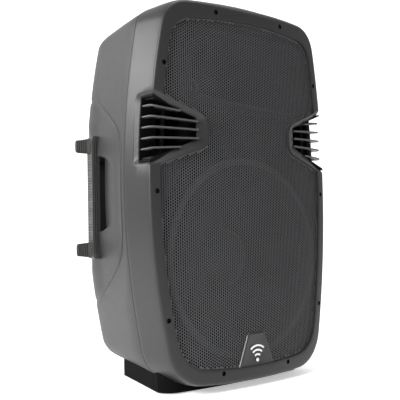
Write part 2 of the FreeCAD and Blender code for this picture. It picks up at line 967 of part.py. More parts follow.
def woofer_basket():
    frame = turned(
        "basket_frame",
        [
            ("frame_hole - 3", "-frame_thickness"),
            ("frame_radius", "-frame_thickness"),
            ("frame_radius", "0"),
            ("frame_hole", "0"),
            ("frame_hole", "8"),
            ("frame_hole - 3", "8"),
        ],
        *WOOFER,
    )
    hub = turned(
        "basket_hub",
        [
            ("plate_hole + 22", "magnet_setback - 6"),
            ("110", "magnet_setback - 6"),
            ("110", "magnet_setback - 14"),
            ("114", "magnet_setback - 14"),
            ("114", "magnet_setback"),
            ("plate_hole + 22", "magnet_setback"),
        ],
        *WOOFER,
    )
    spoke_body = doc.addObject("PartDesign::Body", "basket_spokes")
    spoke_outline = outline_sketch(
        spoke_body,
        "XZ_Plane",
        [
            ("frame_hole - 2.4", "2"),
            ("frame_hole - 0.8", "2"),
            ("frame_hole - 0.8", "14"),
            ("113", "magnet_setback - 1"),
            ("111", "magnet_setback - 1"),
            ("111", "magnet_setback - 12"),
            ("frame_hole - 6", "8"),
        ],
    )
    doc.recompute()
    pad = spoke_body.newObject("PartDesign::Pad", "spoke")
    pad.Profile = spoke_outline
    pad.Length = 16
    pad.Midplane = True
    doc.recompute()
    ring = spoke_body.newObject("PartDesign::PolarPattern", "spokes")
    ring.Originals = [pad]
    ring.Axis = (spoke_outline, ["V_Axis"])
    ring.Angle = 360
    ring.Occurrences = 8
    spoke_body.Tip = ring
    put(spoke_body, *WOOFER, TO_BACK)
    holes = []
    for index, (across, height) in enumerate(woofer_screw_spots()):
        start = "board_depth - frame_thickness - 5"
        holes.append(rod("basket_hole_%d" % index, "2.6", "20", across, start, height))
    cast = joined("basket_casting", [frame, hub, spoke_body])
    named(without("basket", cast, holes), "woofer_basket")


def woofer_round(label, profile):
    named(turned(label, profile, *WOOFER), label)


woofer_basket()


def woofer_gasket_ring():
    ring = turned(
        "gasket_strip",
        [
            ("frame_hole + 4", "-frame_thickness - 3"),
            ("frame_radius", "-frame_thickness - 3"),
            ("frame_radius", "-frame_thickness"),
            ("frame_hole + 4", "-frame_thickness"),
        ],
        *WOOFER,
    )
    holes = []
    for index, (across, height) in enumerate(woofer_screw_spots()):
        start = "board_depth - frame_thickness - 6"
        holes.append(rod("gasket_hole_%d" % index, "2.6", "10", across, start, height))
    named(without("gasket_drilled", ring, holes), "woofer_gasket_ring")


woofer_gasket_ring()
woofer_round(
    "woofer_surround",
    [
        ("cone_radius + 0.2", "-frame_thickness - 1"),
        ("cone_radius + 2", "-frame_thickness - 3.6"),
        ("(cone_radius + frame_hole) / 2", "-frame_thickness - 5.4"),
        ("frame_hole - 2", "-frame_thickness - 3.6"),
        ("frame_hole", "-frame_thickness - 1.2"),
        ("frame_hole + 3.5", "-frame_thickness - 1.2"),
        ("frame_hole + 3.5", "-frame_thickness"),
        ("frame_hole - 2", "-frame_thickness"),
        ("frame_hole - 3.5", "-frame_thickness - 2.6"),
        ("(cone_radius + frame_hole) / 2", "-frame_thickness - 4.2"),
        ("cone_radius + 3.5", "-frame_thickness - 2.6"),
        ("cone_radius + 2", "-frame_thickness + 0.6"),
        ("cone_radius + 0.2", "-frame_thickness + 0.6"),
    ],
)
woofer_round(
    "woofer_cone",
    [
        ("cone_radius", "-frame_thickness - 1"),
        ("cone_radius", "-frame_thickness + cone_thickness"),
        ("coil_radius + coil_wall + 9", "cone_depth + cone_thickness"),
        ("coil_radius + coil_wall", "cone_depth + cone_thickness"),
        ("coil_radius + coil_wall", "cone_depth"),
        ("coil_radius + coil_wall + 8", "cone_depth"),
        ("cone_radius - 6", "-frame_thickness - 1"),
    ],
)
woofer_round(
    "woofer_dust_cap",
    [
        ("0", "cone_depth - 34"),
        ("cap_radius * 0.45", "cone_depth - 31"),
        ("cap_radius * 0.8", "cone_depth - 22"),
        ("cap_radius", "cone_depth - 10"),
        ("cap_radius - 1", "cone_depth - 9"),
        ("cap_radius * 0.8 - 1", "cone_depth - 20.5"),
        ("cap_radius * 0.45", "cone_depth - 29.6"),
        ("0", "cone_depth - 32.6"),
    ],
)
woofer_round(
    "voice_coil",
    [
        ("coil_radius", "cone_depth - 4"),
        ("coil_radius + 0.6", "cone_depth - 4"),
        ("coil_radius + coil_wall", "cone_depth - 4"),
        ("coil_radius + coil_wall", "magnet_setback + plate_thickness + 5"),
        ("coil_radius", "magnet_setback + plate_thickness + 5"),
    ],
)
woofer_round(
    "woofer_spider",
    [
        ("coil_radius + coil_wall", "magnet_setback - 16"),
        ("56", "magnet_setback - 16"),
        ("62", "magnet_setback - 18"),
        ("72", "magnet_setback - 14"),
        ("82", "magnet_setback - 18"),
        ("92", "magnet_setback - 14"),
        ("100", "magnet_setback - 15"),
        ("110", "magnet_setback - 15"),
        ("110", "magnet_setback - 14"),
        ("99", "magnet_setback - 14"),
        ("92", "magnet_setback - 13"),
        ("82", "magnet_setback - 17"),
        ("72", "magnet_setback - 13"),
        ("62", "magnet_setback - 17"),
        ("56", "magnet_setback - 15"),
        ("coil_radius + coil_wall", "magnet_setback - 15"),
    ],
)
woofer_round(
    "woofer_top_plate",
    [
        ("plate_hole", "magnet_setback"),
        ("plate_radius", "magnet_setback"),
        ("plate_radius", "magnet_setback + plate_thickness"),
        ("plate_hole", "magnet_setback + plate_thickness"),
    ],
)
woofer_round(
    "woofer_magnet",
    [
        ("plate_hole + 10", "magnet_setback + plate_thickness"),
        ("magnet_radius", "magnet_setback + plate_thickness"),
        ("magnet_radius", "magnet_setback + plate_thickness + magnet_thickness"),
        ("plate_hole + 10", "magnet_setback + plate_thickness + magnet_thickness"),
    ],
)
woofer_round(
    "woofer_back_plate",
    [
        ("0", "magnet_setback"),
        ("pole_piece", "magnet_setback"),
        ("pole_piece", "magnet_setback + plate_thickness + magnet_thickness"),
        ("plate_radius", "magnet_setback + plate_thickness + magnet_thickness"),
        ("plate_radius", "magnet_setback + 2 * plate_thickness + magnet_thickness"),
        ("0", "magnet_setback + 2 * plate_thickness + magnet_thickness"),
    ],
)


def fasteners_at(label, spots, start, head_radius, head, shank_radius, shank):
    """Screws at (across, height) spots, their heads at one depth."""
    pieces = []
    for index, (across, height) in enumerate(spots):
        name = "%s_%d" % (label, index)
        pieces.append(fastener(name, head_radius, head, shank_radius, shank, across, start, height))
    grouped(label, pieces)


fasteners_at(
    "woofer_screws",
    woofer_screw_spots(),
    "board_depth - frame_thickness - 3 - 2.5",
    "4",
    "2.5",
    "2.4",
    "frame_thickness + 3 + 14",
)

# ---------------------------------------------------------------- horn and compression driver


def throat_wire(radius, depth):
    """A circle cut in eight, so that it matches the mouth's eight edges."""
    turns = [-20, 20, 70, 110, 160, 200, 250, 290, 340]
    edges = []
    for start, finish in zip(turns, turns[1:]):
        places = []
        for turn in (start, (start + finish) / 2, finish):
            angle = math.radians(turn)
            across = radius * math.cos(angle)
            height = s.horn_height + radius * math.sin(angle)
            places.append(at(across, depth, height))
        edges.append(Part.Arc(*places).toShape())
    return Part.Wire(edges)


def horn_space(extra):
    """The horn's flare, outside when extra is its wall."""
    wide = s.mouth_half_width + extra
    tall = s.mouth_half_height + extra
    start = s.board_depth
    wires = [
        mouth_wire(wide, tall, s.mouth_corner + extra, start),
        mouth_wire(wide * 0.66, tall * 0.74, 22 + extra, start + s.horn_length * 0.28),
        mouth_wire(wide * 0.34, tall * 0.50, 16 + extra, start + s.horn_length * 0.62),
        throat_wire(s.throat_radius + extra, start + s.horn_length),
    ]
    return Part.makeLoft(wires, True, False)


def make_horn():
    flare = horn_space(s.horn_wall)
    lip = prism(
        mouth_wire(s.mouth_half_width + 12, s.mouth_half_height + 9, s.mouth_corner + 6, s.board_depth - 4), 0, 4
    )
    flange = Part.makeCylinder(
        s.driver_radius - 6, 6, at(0, s.board_depth + s.horn_length - 6, s.horn_height), Vector(0, 1, 0)
    )
    mouth = prism(
        mouth_wire(s.mouth_half_width, s.mouth_half_height, s.mouth_corner, s.board_depth - 5), 0, 5
    )
    horn = flare.multiFuse([lip, flange]).cut(horn_space(0)).cut(mouth)
    horn = drilled(horn, horn_screw_spots(), 2.0, s.board_depth - 8, 14)
    return drilled(horn, driver_bolt_spots(), 3.2, s.board_depth + s.horn_length - 12, 20)


shaped("horn_flare", make_horn())


fasteners_at("horn_screws", horn_screw_spots(), "board_depth - 6", "3.2", "2", "1.8", "14")

DRIVER = ("0", "board_depth + horn_length", "horn_height")


def driver_round(label, profile):
    named(turned(label, profile, *DRIVER), label)




def driver_front_plate():
    plate = turned(
        "hf_plate_disc",
        [
            ("throat_radius", "0"),
            ("driver_radius - 2", "0"),
            ("driver_radius - 2", "driver_plate"),
            ("throat_radius", "driver_plate"),
        ],
        *DRIVER,
    )
    holes = []
    for index, (across, height) in enumerate(driver_bolt_spots()):
        start = "board_depth + horn_length - 5"
        holes.append(rod("hf_plate_hole_%d" % index, "3.2", "13.5", across, start, height))
    named(without("hf_plate_drilled", plate, holes), "hf_front_plate")


driver_front_plate()
driver_round(
    "hf_magnet",
    [
        ("driver_bore", "driver_plate"),
        ("driver_radius", "driver_plate"),
        ("driver_radius", "driver_plate + driver_magnet"),
        ("driver_bore", "driver_plate + driver_magnet"),
    ],
)
driver_round(
    "hf_rear_cap",
    [
        ("driver_bore + 2", "driver_plate + driver_magnet"),
        ("driver_radius - 5", "driver_plate + driver_magnet"),
        ("driver_radius - 5", "driver_plate + driver_magnet + driver_cap_length - 8"),
        ("driver_radius - 13", "driver_plate + driver_magnet + driver_cap_length"),
        ("0", "driver_plate + driver_magnet + driver_cap_length"),
        ("0", "driver_plate + driver_magnet + driver_cap_length - 3"),
        ("driver_bore + 2", "driver_plate + driver_magnet + driver_cap_length - 3"),
    ],
)
driver_round(
    "hf_diaphragm",
    [
        ("dome_radius - 0.8", "driver_plate + driver_magnet - 6"),
        ("dome_radius", "driver_plate + driver_magnet - 6"),
        ("dome_radius", "driver_plate + driver_magnet + 4"),
        ("dome_radius * 0.72", "driver_plate + driver_magnet + 10"),
        ("0", "driver_plate + driver_magnet + 14"),
        ("0", "driver_plate + driver_magnet + 13.2"),
        ("dome_radius * 0.7", "driver_plate + driver_magnet + 9.3"),
        ("dome_radius - 0.8", "driver_plate + driver_magnet + 3.6"),
    ],
)
fasteners_at(
    "hf_bolts",
    driver_bolt_spots(),
    "board_depth + horn_length - 6 - 4",
    "4.5",
    "4",
    "3",
    "6 + 8",
)

# ---------------------------------------------------------------- damping


pad_top = slab("pad_top", "210", "120", "18", "0", "120", "cabinet_height - 50")
pad_low = slab("pad_low", "150", "80", "14", "0", "228", "66")
grouped("damping_pads", [pad_top, pad_low])

# ---------------------------------------------------------------- amplifier panel

PANEL = "shell_depth - panel_recess"
panel_face = panel_plane + s.panel_thickness + 1
FACE = "shell_depth - panel_recess + panel_thickness + 1"
HOLE_GAP = 0.2

INPUTS = [("input_socket_one", -62, 520), ("input_socket_two", -62, 480)]
OUTPUT = ("output_socket", -62, 440)
KNOBS = [
    ("knob_gain_one", -18, 520),
    ("knob_gain_two", -18, 480),
    ("knob_low", 24, 520),
    ("knob_high", 24, 480),
]
LAMP = (62, 520)
FUSE = (12, 150)
SWITCH = (-52, 150)
INLET = (60, 150)
SWITCH_HALF = (10.5, 14)
INLET_HALF = (15, 11)


def make_panel_gasket():
    ring = panel_box(0, panel_plane, 1).cut(panel_box(-9, panel_plane - 5, 20))
    return drilled(ring, panel_screw_spots(), 1.9, panel_plane - 3, 8)


def cut_box(across, height, half_width, half_height):
    return Part.makeBox(
        2 * half_width, 40, 2 * half_height, at(across - half_width, panel_plane - 10, height - half_height)
    )


def cut_round(across, height, radius):
    return Part.makeCylinder(radius, 40, at(across, panel_plane - 10, height), Vector(0, 1, 0))


shaped("panel_gasket", make_panel_gasket())


def make_panel():
    plate = panel_box(0, panel_plane + 1, s.panel_thickness)
    tools = []
    for name, across, height in INPUTS + [OUTPUT]:
        tools.append(cut_round(across, height, s.socket_half - 1.5 + HOLE_GAP))
    for name, across, height in KNOBS:
        tools.append(cut_round(across, height, 3.5))
    tools.append(cut_round(LAMP[0], LAMP[1], 3 + HOLE_GAP))
    tools.append(cut_round(FUSE[0], FUSE[1], 7 + HOLE_GAP))
    tools.append(cut_box(*SWITCH, SWITCH_HALF[0] + HOLE_GAP, SWITCH_HALF[1] + HOLE_GAP))
    tools.append(cut_box(*INLET, INLET_HALF[0] + HOLE_GAP, INLET_HALF[1] + HOLE_GAP))
    for across, height in panel_screw_spots():
        tools.append(cut_round(across, height, 1.9))
    for name, across, height in INPUTS:
        tools.append(cut_box(across, height + s.socket_half + 2, 3.7, 2.4))
    return plate.cut(Part.makeCompound(tools))


shaped("amp_panel", make_panel())


def panel_screws():
    pieces = []
    for index, (across, height) in enumerate(panel_screw_spots()):
        name = "panel_screw_%d" % index
        start = FACE + " + 2.2"
        pieces.append(fastener(name, "3.4", "2.2", "1.7", "12", across, start, height, TO_FRONT))
    grouped("panel_screws", pieces)


panel_screws()


def heat_sink():
    """A base with upright fins that reach as far back as the cabinet does."""
    pieces = [slab("sink_base", "150", "5", "190", "0", FACE, "200")]
    pitch = 146.0 / (s.fin_count - 1)
    for index in range(int(s.fin_count)):
        across = -73 + pitch * index
        length = "overall_depth - (%s) - 5" % FACE
        fin = slab("sink_fin_%d" % index, "3", length, "190", across, FACE + " + 5", "200")
        pieces.append(fin)
    named(joined("sink", pieces), "heat_sink")


heat_sink()


def socket_shell(name, across, height, pin_holes):
    """A square flange with a round housing behind it and a round mouth."""
    flange = slab(
        name + "_flange", "2 * socket_half", "2", "2 * socket_half + 5", across, FACE, "%s - socket_half" % height
    )
    barrel = rod(
        name + "_barrel", "socket_half - 1.5", "socket_length", across, FACE + " - socket_length", height
    )
    bore = rod(name + "_bore", "socket_bore", "16 + 2", across, FACE + " - 16", height)
    return flange, barrel, bore


def input_socket(label, across, height):
    flange, barrel, bore = socket_shell(label, across, height, True)
    slot = slab(label + "_slot", "7", "12", "4.4", across, FACE + " - 8", "%s + socket_half - 0.2" % height)
    core = rod(label + "_core", "socket_bore - 1.5", "14", across, FACE + " - 16", height)
    holes = []
    for index, angle in enumerate((90, 210, 330)):
        side = across + 4 * math.cos(math.radians(angle))
        up = height + 4 * math.sin(math.radians(angle))
        holes.append(rod("%s_contact_%d" % (label, index), "1.2", "12", side, FACE + " - 13", up))
    housing = without(label + "_housing", joined(label + "_block", [flange, barrel]), [bore, slot])
    named(joined(label + "_whole", [housing, without(label + "_insert", core, holes)]), label)


def output_socket(label, across, height):
    flange, barrel, bore = socket_shell(label, across, height, False)
    pins = []
    for index, angle in enumerate((90, 210, 330)):
        side = across + 4 * math.cos(math.radians(angle))
        up = height + 4 * math.sin(math.radians(angle))
        pins.append(rod("%s_pin_%d" % (label, index), "1.2", "14", side, FACE + " - 17", up))
    housing = without(label + "_housing", joined(label + "_block", [flange, barrel]), [bore])
    named(joined(label + "_whole", [housing] + pins), label)


def latch(label, across, height):
    """A push button that lets a plug go; it slides in the slot above the mouth."""
    low = "%s + socket_half + 0.1" % height
    named(slab(label, "6.4", "6", "3.8", across, FACE + " - 1.5", low), label)


for socket_name, socket_across, socket_height in INPUTS:
    input_socket(socket_name, socket_across, socket_height)
output_socket(*OUTPUT)
latch("latch_one", INPUTS[0][1], INPUTS[0][2])
latch("latch_two", INPUTS[1][1], INPUTS[1][2])


def knob(label, across, height):
    """A knob on its own shaft, which passes through the panel with room to turn."""
    named(
        turned(
            label,
            [
                ("0", "-10"),
                ("3", "-10"),
                ("3", "knob_gap"),
                ("knob_radius", "knob_gap"),
                ("knob_radius - 0.6", "knob_length - 1"),
                ("knob_radius - 1.6", "knob_length"),
                ("0", "knob_length"),
            ],
            across,
            FACE,
            height,
        ),
        label,
    )


for knob_name, knob_across, knob_height in KNOBS:
    knob(knob_name, knob_across, knob_height)

named(rod("status_lamp", "3", "8", LAMP[0], FACE + " - 6", LAMP[1]), "status_lamp")
named(
    turned(
        "fuse_cap",
        [
            ("0", "-24"),
            ("7", "-24"),
            ("7", "0"),
            ("9", "0"),
            ("9", "3"),
            ("6", "3"),
            ("5.4", "9"),
            ("0", "9"),
        ],
        FUSE[0],
        FACE,
        FUSE[1],
    ),
    "fuse_cap",
)


def make_switch_frame():
    half_width, half_height = SWITCH_HALF
    across, height = SWITCH
    lip = Part.makeBox(
        2 * half_width + 4, 2, 2 * half_height + 4, at(across - half_width - 2, panel_face, height - half_height - 2)
    )
    case = Part.makeBox(
        2 * half_width, 20, 2 * half_height, at(across - half_width, panel_face - 20, height - half_height)
    )
    room = Part.makeBox(
        2 * half_width - 3, 14, 2 * half_height - 3, at(across - half_width + 1.5, panel_face - 12, height - half_height + 1.5)
    )
    return lip.fuse(case).cut(room)


shaped("power_switch_frame", make_switch_frame())


def make_rocker():
    """A rocker whose two faces meet at a shallow angle, turning about a line across it."""
    half_height = SWITCH_HALF[1] - 3.4
    half_width = SWITCH_HALF[0] - 1.9
    profile = [
        (0, -5.0),
        (half_height * 0.86, -1.0),
        (half_height, 3.6),
        (0, 1.2),
        (-half_height, 3.6),
        (-half_height * 0.86, -1.0),
    ]
    places = [at(SWITCH[0] - half_width, panel_face + depth, SWITCH[1] + up) for up, depth in profile]
    face = Part.Face(Part.makePolygon(places + places[:1]))
    block = face.extrude(Vector(2 * half_width, 0, 0))
    block.rotate(at(SWITCH[0], panel_face - 3, SWITCH[1]), Vector(1, 0, 0), -8)
    return block


shaped("power_rocker", make_rocker())


def make_inlet():
    half_width, half_height = INLET_HALF
    across, height = INLET
    lip = Part.makeBox(
        2 * half_width + 18, 2.4, 2 * half_height + 5, at(across - half_width - 9, panel_face, height - half_height - 2.5)
    )
    case = Part.makeBox(
        2 * half_width, 28, 2 * half_height, at(across - half_width, panel_face - 28, height - half_height)
    )
    room = Part.makeBox(
        2 * half_width - 4, 30, 2 * half_height - 4, at(across - half_width + 2, panel_face - 17, height - half_height + 2)
    )
    block = lip.fuse(case).cut(room)
    pins = []
    for side, up in ((-7, -1.5), (0, 2.5), (7, -1.5)):
        pins.append(Part.makeBox(2, 15, 4, at(across + side - 1, panel_face - 18, height + up - 2)))
    return block.multiFuse(pins)


shaped("mains_inlet", make_inlet())

board_front = PANEL + " - 34"
named(slab("board", "150", "1.6", "110", "0", "shell_depth - panel_recess - 36", "430"), "circuit_board")


def capacitors():
    pieces = []
    for index, across in enumerate((-54, -18, 18, 54)):
        start = "shell_depth - panel_recess - 36 - 34"
        pieces.append(rod("capacitor_%d" % index, "13", "34", across, start, "458"))
    grouped("capacitors", pieces)


capacitors()

named(
    turned(
        "transformer",
        [
            ("14", "0"),
            ("56", "0"),
            ("60", "5"),
            ("60", "41"),
            ("56", "46"),
            ("14", "46"),
        ],
        "0",
        "shell_depth - panel_recess - 47",
        "268",
    ),
    "transformer",
)

# ---------------------------------------------------------------- checks and files

doc.recompute()
for feature in doc.Objects:
    for bad in ("Invalid", "Error"):
        if bad in feature.State:
            raise RuntimeError("%s failed to compute" % feature.Label)
for feature in nodes:
    if feature.Shape.isNull() or not feature.Shape.isValid():
        raise RuntimeError("%s has no sound shape" % feature.Label)

os.makedirs("parts", exist_ok=True)
for feature in nodes:
    feature.Shape.exportStep("parts/%s.step" % feature.Label)
print("%d sub-parts written" % len(nodes))
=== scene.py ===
import math

import bmesh
import bpy
import mathutils
import numpy as np
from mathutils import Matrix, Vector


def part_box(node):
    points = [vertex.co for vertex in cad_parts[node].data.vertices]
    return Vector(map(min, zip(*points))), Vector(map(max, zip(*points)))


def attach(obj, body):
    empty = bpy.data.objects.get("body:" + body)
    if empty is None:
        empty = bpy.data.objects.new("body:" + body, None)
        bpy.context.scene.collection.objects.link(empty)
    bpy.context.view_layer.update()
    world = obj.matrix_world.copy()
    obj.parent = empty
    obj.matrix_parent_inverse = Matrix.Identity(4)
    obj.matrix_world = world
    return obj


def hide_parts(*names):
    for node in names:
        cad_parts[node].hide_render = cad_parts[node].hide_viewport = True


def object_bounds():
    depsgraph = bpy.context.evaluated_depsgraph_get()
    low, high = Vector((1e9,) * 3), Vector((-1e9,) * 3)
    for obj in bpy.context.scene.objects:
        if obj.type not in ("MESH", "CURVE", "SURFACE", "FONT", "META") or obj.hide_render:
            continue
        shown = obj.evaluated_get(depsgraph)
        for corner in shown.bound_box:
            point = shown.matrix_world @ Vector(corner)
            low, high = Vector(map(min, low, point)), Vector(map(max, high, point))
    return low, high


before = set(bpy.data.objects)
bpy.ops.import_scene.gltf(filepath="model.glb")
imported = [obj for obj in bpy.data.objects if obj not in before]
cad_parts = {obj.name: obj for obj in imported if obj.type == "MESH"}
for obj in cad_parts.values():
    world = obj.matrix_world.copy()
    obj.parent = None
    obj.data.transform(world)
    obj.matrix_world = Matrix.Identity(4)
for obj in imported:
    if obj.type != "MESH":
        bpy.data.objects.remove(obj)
cad_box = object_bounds()
front_line = cad_box[0][1]

# Front moulding. One deep injection-moulded ABS shell with a curved face, a flat rim round the
# grille's recess and a side opening for each vent. It carries both drivers, and ten screws in
# its rim and a rubber seal join it to the rear shell.

side_swell = 1376.0
end_swell = 1200.0
side_middle = 365.0
face_radius = 1053.0
rim_bend = 5.0
vent_back_line = 70.0
end_steps = 14
corner_steps = 12
# depth, half width, top, foot, top corner and foot corner of each drawn section, in millimetres
front_sections = (
    (-2, 212.5, 680, 15.5, 56, 80),
    (8, 216.8, 690, 11, 57, 79),
    (20, 219.2, 694.6, 8, 56, 79),
    (52, 219.7, 696.6, 6, 53, 80),
    (97, 219.9, 696.4, 6, 48, 82),
)


def place(across, depth, height):
    """A point in metres from millimetres across, back from the front and up from the floor."""
    return (across / 1000, front_line + depth / 1000, height / 1000)


def front_depth(across, recess=0.0):
    """How far back the curved face, or a sheet behind it, lies at a distance across."""
    return face_radius - math.sqrt((face_radius - recess) ** 2 - across**2)


def section_at(sections, depth):
    """A section's sizes at a depth, eased between the drawn sections without overshoot."""
    table = np.array(sections, float)
    gaps = np.diff(table[:, 0])
    secants = np.diff(table[:, 1:], axis=0) / gaps[:, None]
    spot = int(np.clip(np.searchsorted(table[:, 0], depth) - 1, 0, len(gaps) - 1))

    def slope(row):
        if row == 0 or row == len(gaps):
            return secants[0 if row == 0 else -1]
        before, after = secants[row - 1], secants[row]
        total = np.where(before * after > 0, before + after, 1)
        return np.where(before * after > 0, 2 * before * after / total, 0)

    t = (depth - table[spot, 0]) / gaps[spot]
    start, end = table[spot, 1:], table[spot + 1, 1:]
    rise = slope(spot) * gaps[spot]
    fall = slope(spot + 1) * gaps[spot]
    return (
        start * (1 + 2 * t) * (1 - t) ** 2
        + rise * t * (1 - t) ** 2
        + end * t * t * (3 - 2 * t)
        + fall * t * t * (t - 1)
    )


def corner_circle(half, end, corner, swell, cap_swell, way):
    """Centre and two touching points of the corner between a side arc and an end arc."""
    side = np.array((half - swell, side_middle))
    cap = np.array((0.0, end - way * cap_swell))
    near = swell - corner
    far = cap_swell - corner
    gap = cap - side
    span = math.hypot(*gap)
    along = (near**2 - far**2 + span**2) / (2 * span)
    off = math.sqrt(near**2 - along**2)
    across = np.array((-gap[1], gap[0])) / span
    choices = [side + gap / span * along + across * off * sign for sign in (1, -1)]
    centre = max(choices, key=lambda spot: spot[0] + way * spot[1])
    touches = []
    for big in (cap, side):
        away = (centre - big) / math.hypot(*(centre - big))
        touches.append(centre + away * corner)
    return centre, touches[0], touches[1]


def half_outline(sizes, stops, swell=side_swell, cap_swell=end_swell):
    """The right half of an outline, (across, height) from the foot's middle to the top's.

    stops are (height, steps, crowded) along the side, so that rows line up between outlines.
    """
    half, top, foot, head, heel = sizes
    low, foot_touch, low_touch = corner_circle(half, foot, heel, swell, cap_swell, -1)
    high, top_touch, high_touch = corner_circle(half, top, head, swell, cap_swell, 1)
    points = []
    for step in range(end_steps):
        x = foot_touch[0] * step / end_steps
        points.append((x, foot + cap_swell - math.sqrt(cap_swell**2 - x * x)))
    points += corner_points(low, foot_touch, low_touch)
    start = low_touch[1]
    for end, steps, crowded in list(stops[:-1]) + [(high_touch[1],) + stops[-1][1:]]:
        for step in range(steps):
            share = step / steps
            if crowded:
                share = 0.5 - 0.5 * math.cos(math.pi * share)
            z = start + (end - start) * share
            points.append((half - swell + math.sqrt(swell**2 - (z - side_middle) ** 2), z))
        start = end
    points += corner_points(high, high_touch, top_touch)
    for step in range(end_steps + 1):
        x = top_touch[0] * (1 - step / end_steps)
        points.append((x, top - cap_swell + math.sqrt(cap_swell**2 - x * x)))
    return np.array(points)


def corner_points(centre, start, end):
    """Points round a corner from its first touching point, without the last."""
    radius = math.hypot(*(start - centre))
    first = math.atan2(start[1] - centre[1], start[0] - centre[0])
    last = math.atan2(end[1] - centre[1], end[0] - centre[0])
    turns = [first + (last - first) * step / corner_steps for step in range(corner_steps)]
    return [(centre[0] + radius * math.cos(a), centre[1] + radius * math.sin(a)) for a in turns]


def outward(points):
    """Unit normals of a right half outline."""
    steps = np.gradient(points, axis=0)
    steps[0] = (1, 0)
    steps[-1] = (-1, 0)
    normals = np.stack((steps[:, 1], -steps[:, 0]), axis=1)
    return normals / np.linalg.norm(normals, axis=1)[:, None]


def bend_points(first, corner, last, steps):
    """Points on a soft bend from first round a corner to last, without the first."""
    points = []
    for step in range(1, steps + 1):
        t = step / steps
        points.append(
            [
                a * (1 - t) ** 2 + 2 * b * t * (1 - t) + c * t * t
                for a, b, c in zip(first, corner, last)
            ]
        )
    return points


class Mesh:
    """Points in millimetres and faces of one piece, gathered patch by patch."""

    def __init__(self):
        self.points = []
        self.faces = []
        self.paints = []

    def grid(self, rows, skip=None, paint=0, closed=False, flip=False):
        """Faces between rows of points. skip(row, column) leaves a face out."""
        base = len(self.points)
        wide = len(rows[0])
        for row in rows:
            self.points.extend(row)
        for i in range(len(rows) - 1):
            for j in range(wide if closed else wide - 1):
                if skip and skip(i, j):
                    continue
                after = (j + 1) % wide
                face = (
                    base + i * wide + j,
                    base + i * wide + after,
                    base + (i + 1) * wide + after,
                    base + (i + 1) * wide + j,
                )
                self.faces.append(face[::-1] if flip else face)
                self.paints.append(paint)

    def cap(self, ring, paint=0, flip=False):
        base = len(self.points)
        self.points.extend(ring)
        face = tuple(range(base, base + len(ring)))
        self.faces.append(face[::-1] if flip else face)
        self.paints.append(paint)

    def tube(self, rings, paint=0):
        """A closed skin over rings of points, with both ends capped."""
        self.grid(rings, paint=paint, closed=True)
        self.cap(rings[0], paint, flip=True)
        self.cap(rings[-1], paint)

    def fill(self, outer, hole=()):
        """Triangles between a closed loop of points and an optional hole in it."""
        points = list(outer) + list(hole)
        count = len(outer)
        rest = len(hole)
        sides = [(index, (index + 1) % count) for index in range(count)]
        sides += [(count + index, count + (index + 1) % rest) for index in range(rest)]
        flat = [mathutils.Vector((x, z)) for x, _, z in points]
        faces, origins = mathutils.geometry.delaunay_2d_cdt(flat, sides, [], 1, 1e-6)[2:4]
        base = len(self.points)
        self.points += points
        for face in faces:
            corners = [origins[corner][0] for corner in face]
            if any(corner < count for corner in corners):
                self.faces.append(tuple(base + corner for corner in corners))
                self.paints.append(0)

    def mirror(self):
        """Adds the left-hand copy."""
        base = len(self.points)
        self.points += [(-x, y, z) for x, y, z in self.points]
        count = len(self.faces)
        for index in range(count):
            self.faces.append(tuple(base + corner for corner in self.faces[index][::-1]))
            self.paints.append(self.paints[index])

    def piece(self, name, finishes, slot, body="cabinet", sharp=32, weld=0.00002, outside=True):
        """Makes the Blender object: welds, shades, paints and parents it to its body's empty."""
        data = bpy.data.meshes.new(name)
        data.from_pydata([place(*point) for point in self.points], [], self.faces)
        data.polygons.foreach_set("material_index", self.paints)
        work = bmesh.new()
        work.from_mesh(data)
        bmesh.ops.remove_doubles(work, verts=work.verts, dist=weld)
        bmesh.ops.dissolve_degenerate(work, edges=work.edges, dist=weld / 2)
        if outside:
            bmesh.ops.recalc_face_normals(work, faces=work.faces)
        work.to_mesh(data)
        work.free()
        data.polygons.foreach_set("use_smooth", [True] * len(data.polygons))
        data.set_sharp_from_angle(angle=math.radians(sharp))
        for finish in finishes:
            data.materials.append(finish)
        made = bpy.data.objects.new(name, data)
        bpy.context.scene.collection.objects.link(made)
        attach(made, body)
        return made

    def pair(self, name, finishes, slot, stands_for, **more):
        """Makes the right-hand piece and its left-hand twin, each in place of a CAD node."""
        for side, word in ((1, "right"), (-1, "left")):
            half = Mesh()
            half.points = [(x * side, y, z) for x, y, z in self.points]
            half.faces = list(self.faces) if side > 0 else [face[::-1] for face in self.faces]
            half.paints = list(self.paints)
            made = half.piece(name + "_" + word, finishes, slot, **more)
            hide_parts(stands_for + "_" + word)


class Socket:
    """A value or colour between a material's nodes, so that sums on it read as sums."""

    def __init__(self, finish, socket):
        self.finish = finish
        self.socket = socket

    def sum(self, operation, *values):
        names = dict(enumerate(values))
        return self.finish.node("ShaderNodeMath", {"operation": operation}, names)

    def __add__(self, other):
        return self.sum("ADD", self, other)

    def __sub__(self, other):
        return self.sum("SUBTRACT", self, other)

    def __rsub__(self, other):
        return self.sum("SUBTRACT", other, self)

    def __mul__(self, other):
        return self.sum("MULTIPLY", self, other)

    __radd__ = __add__
    __rmul__ = __mul__


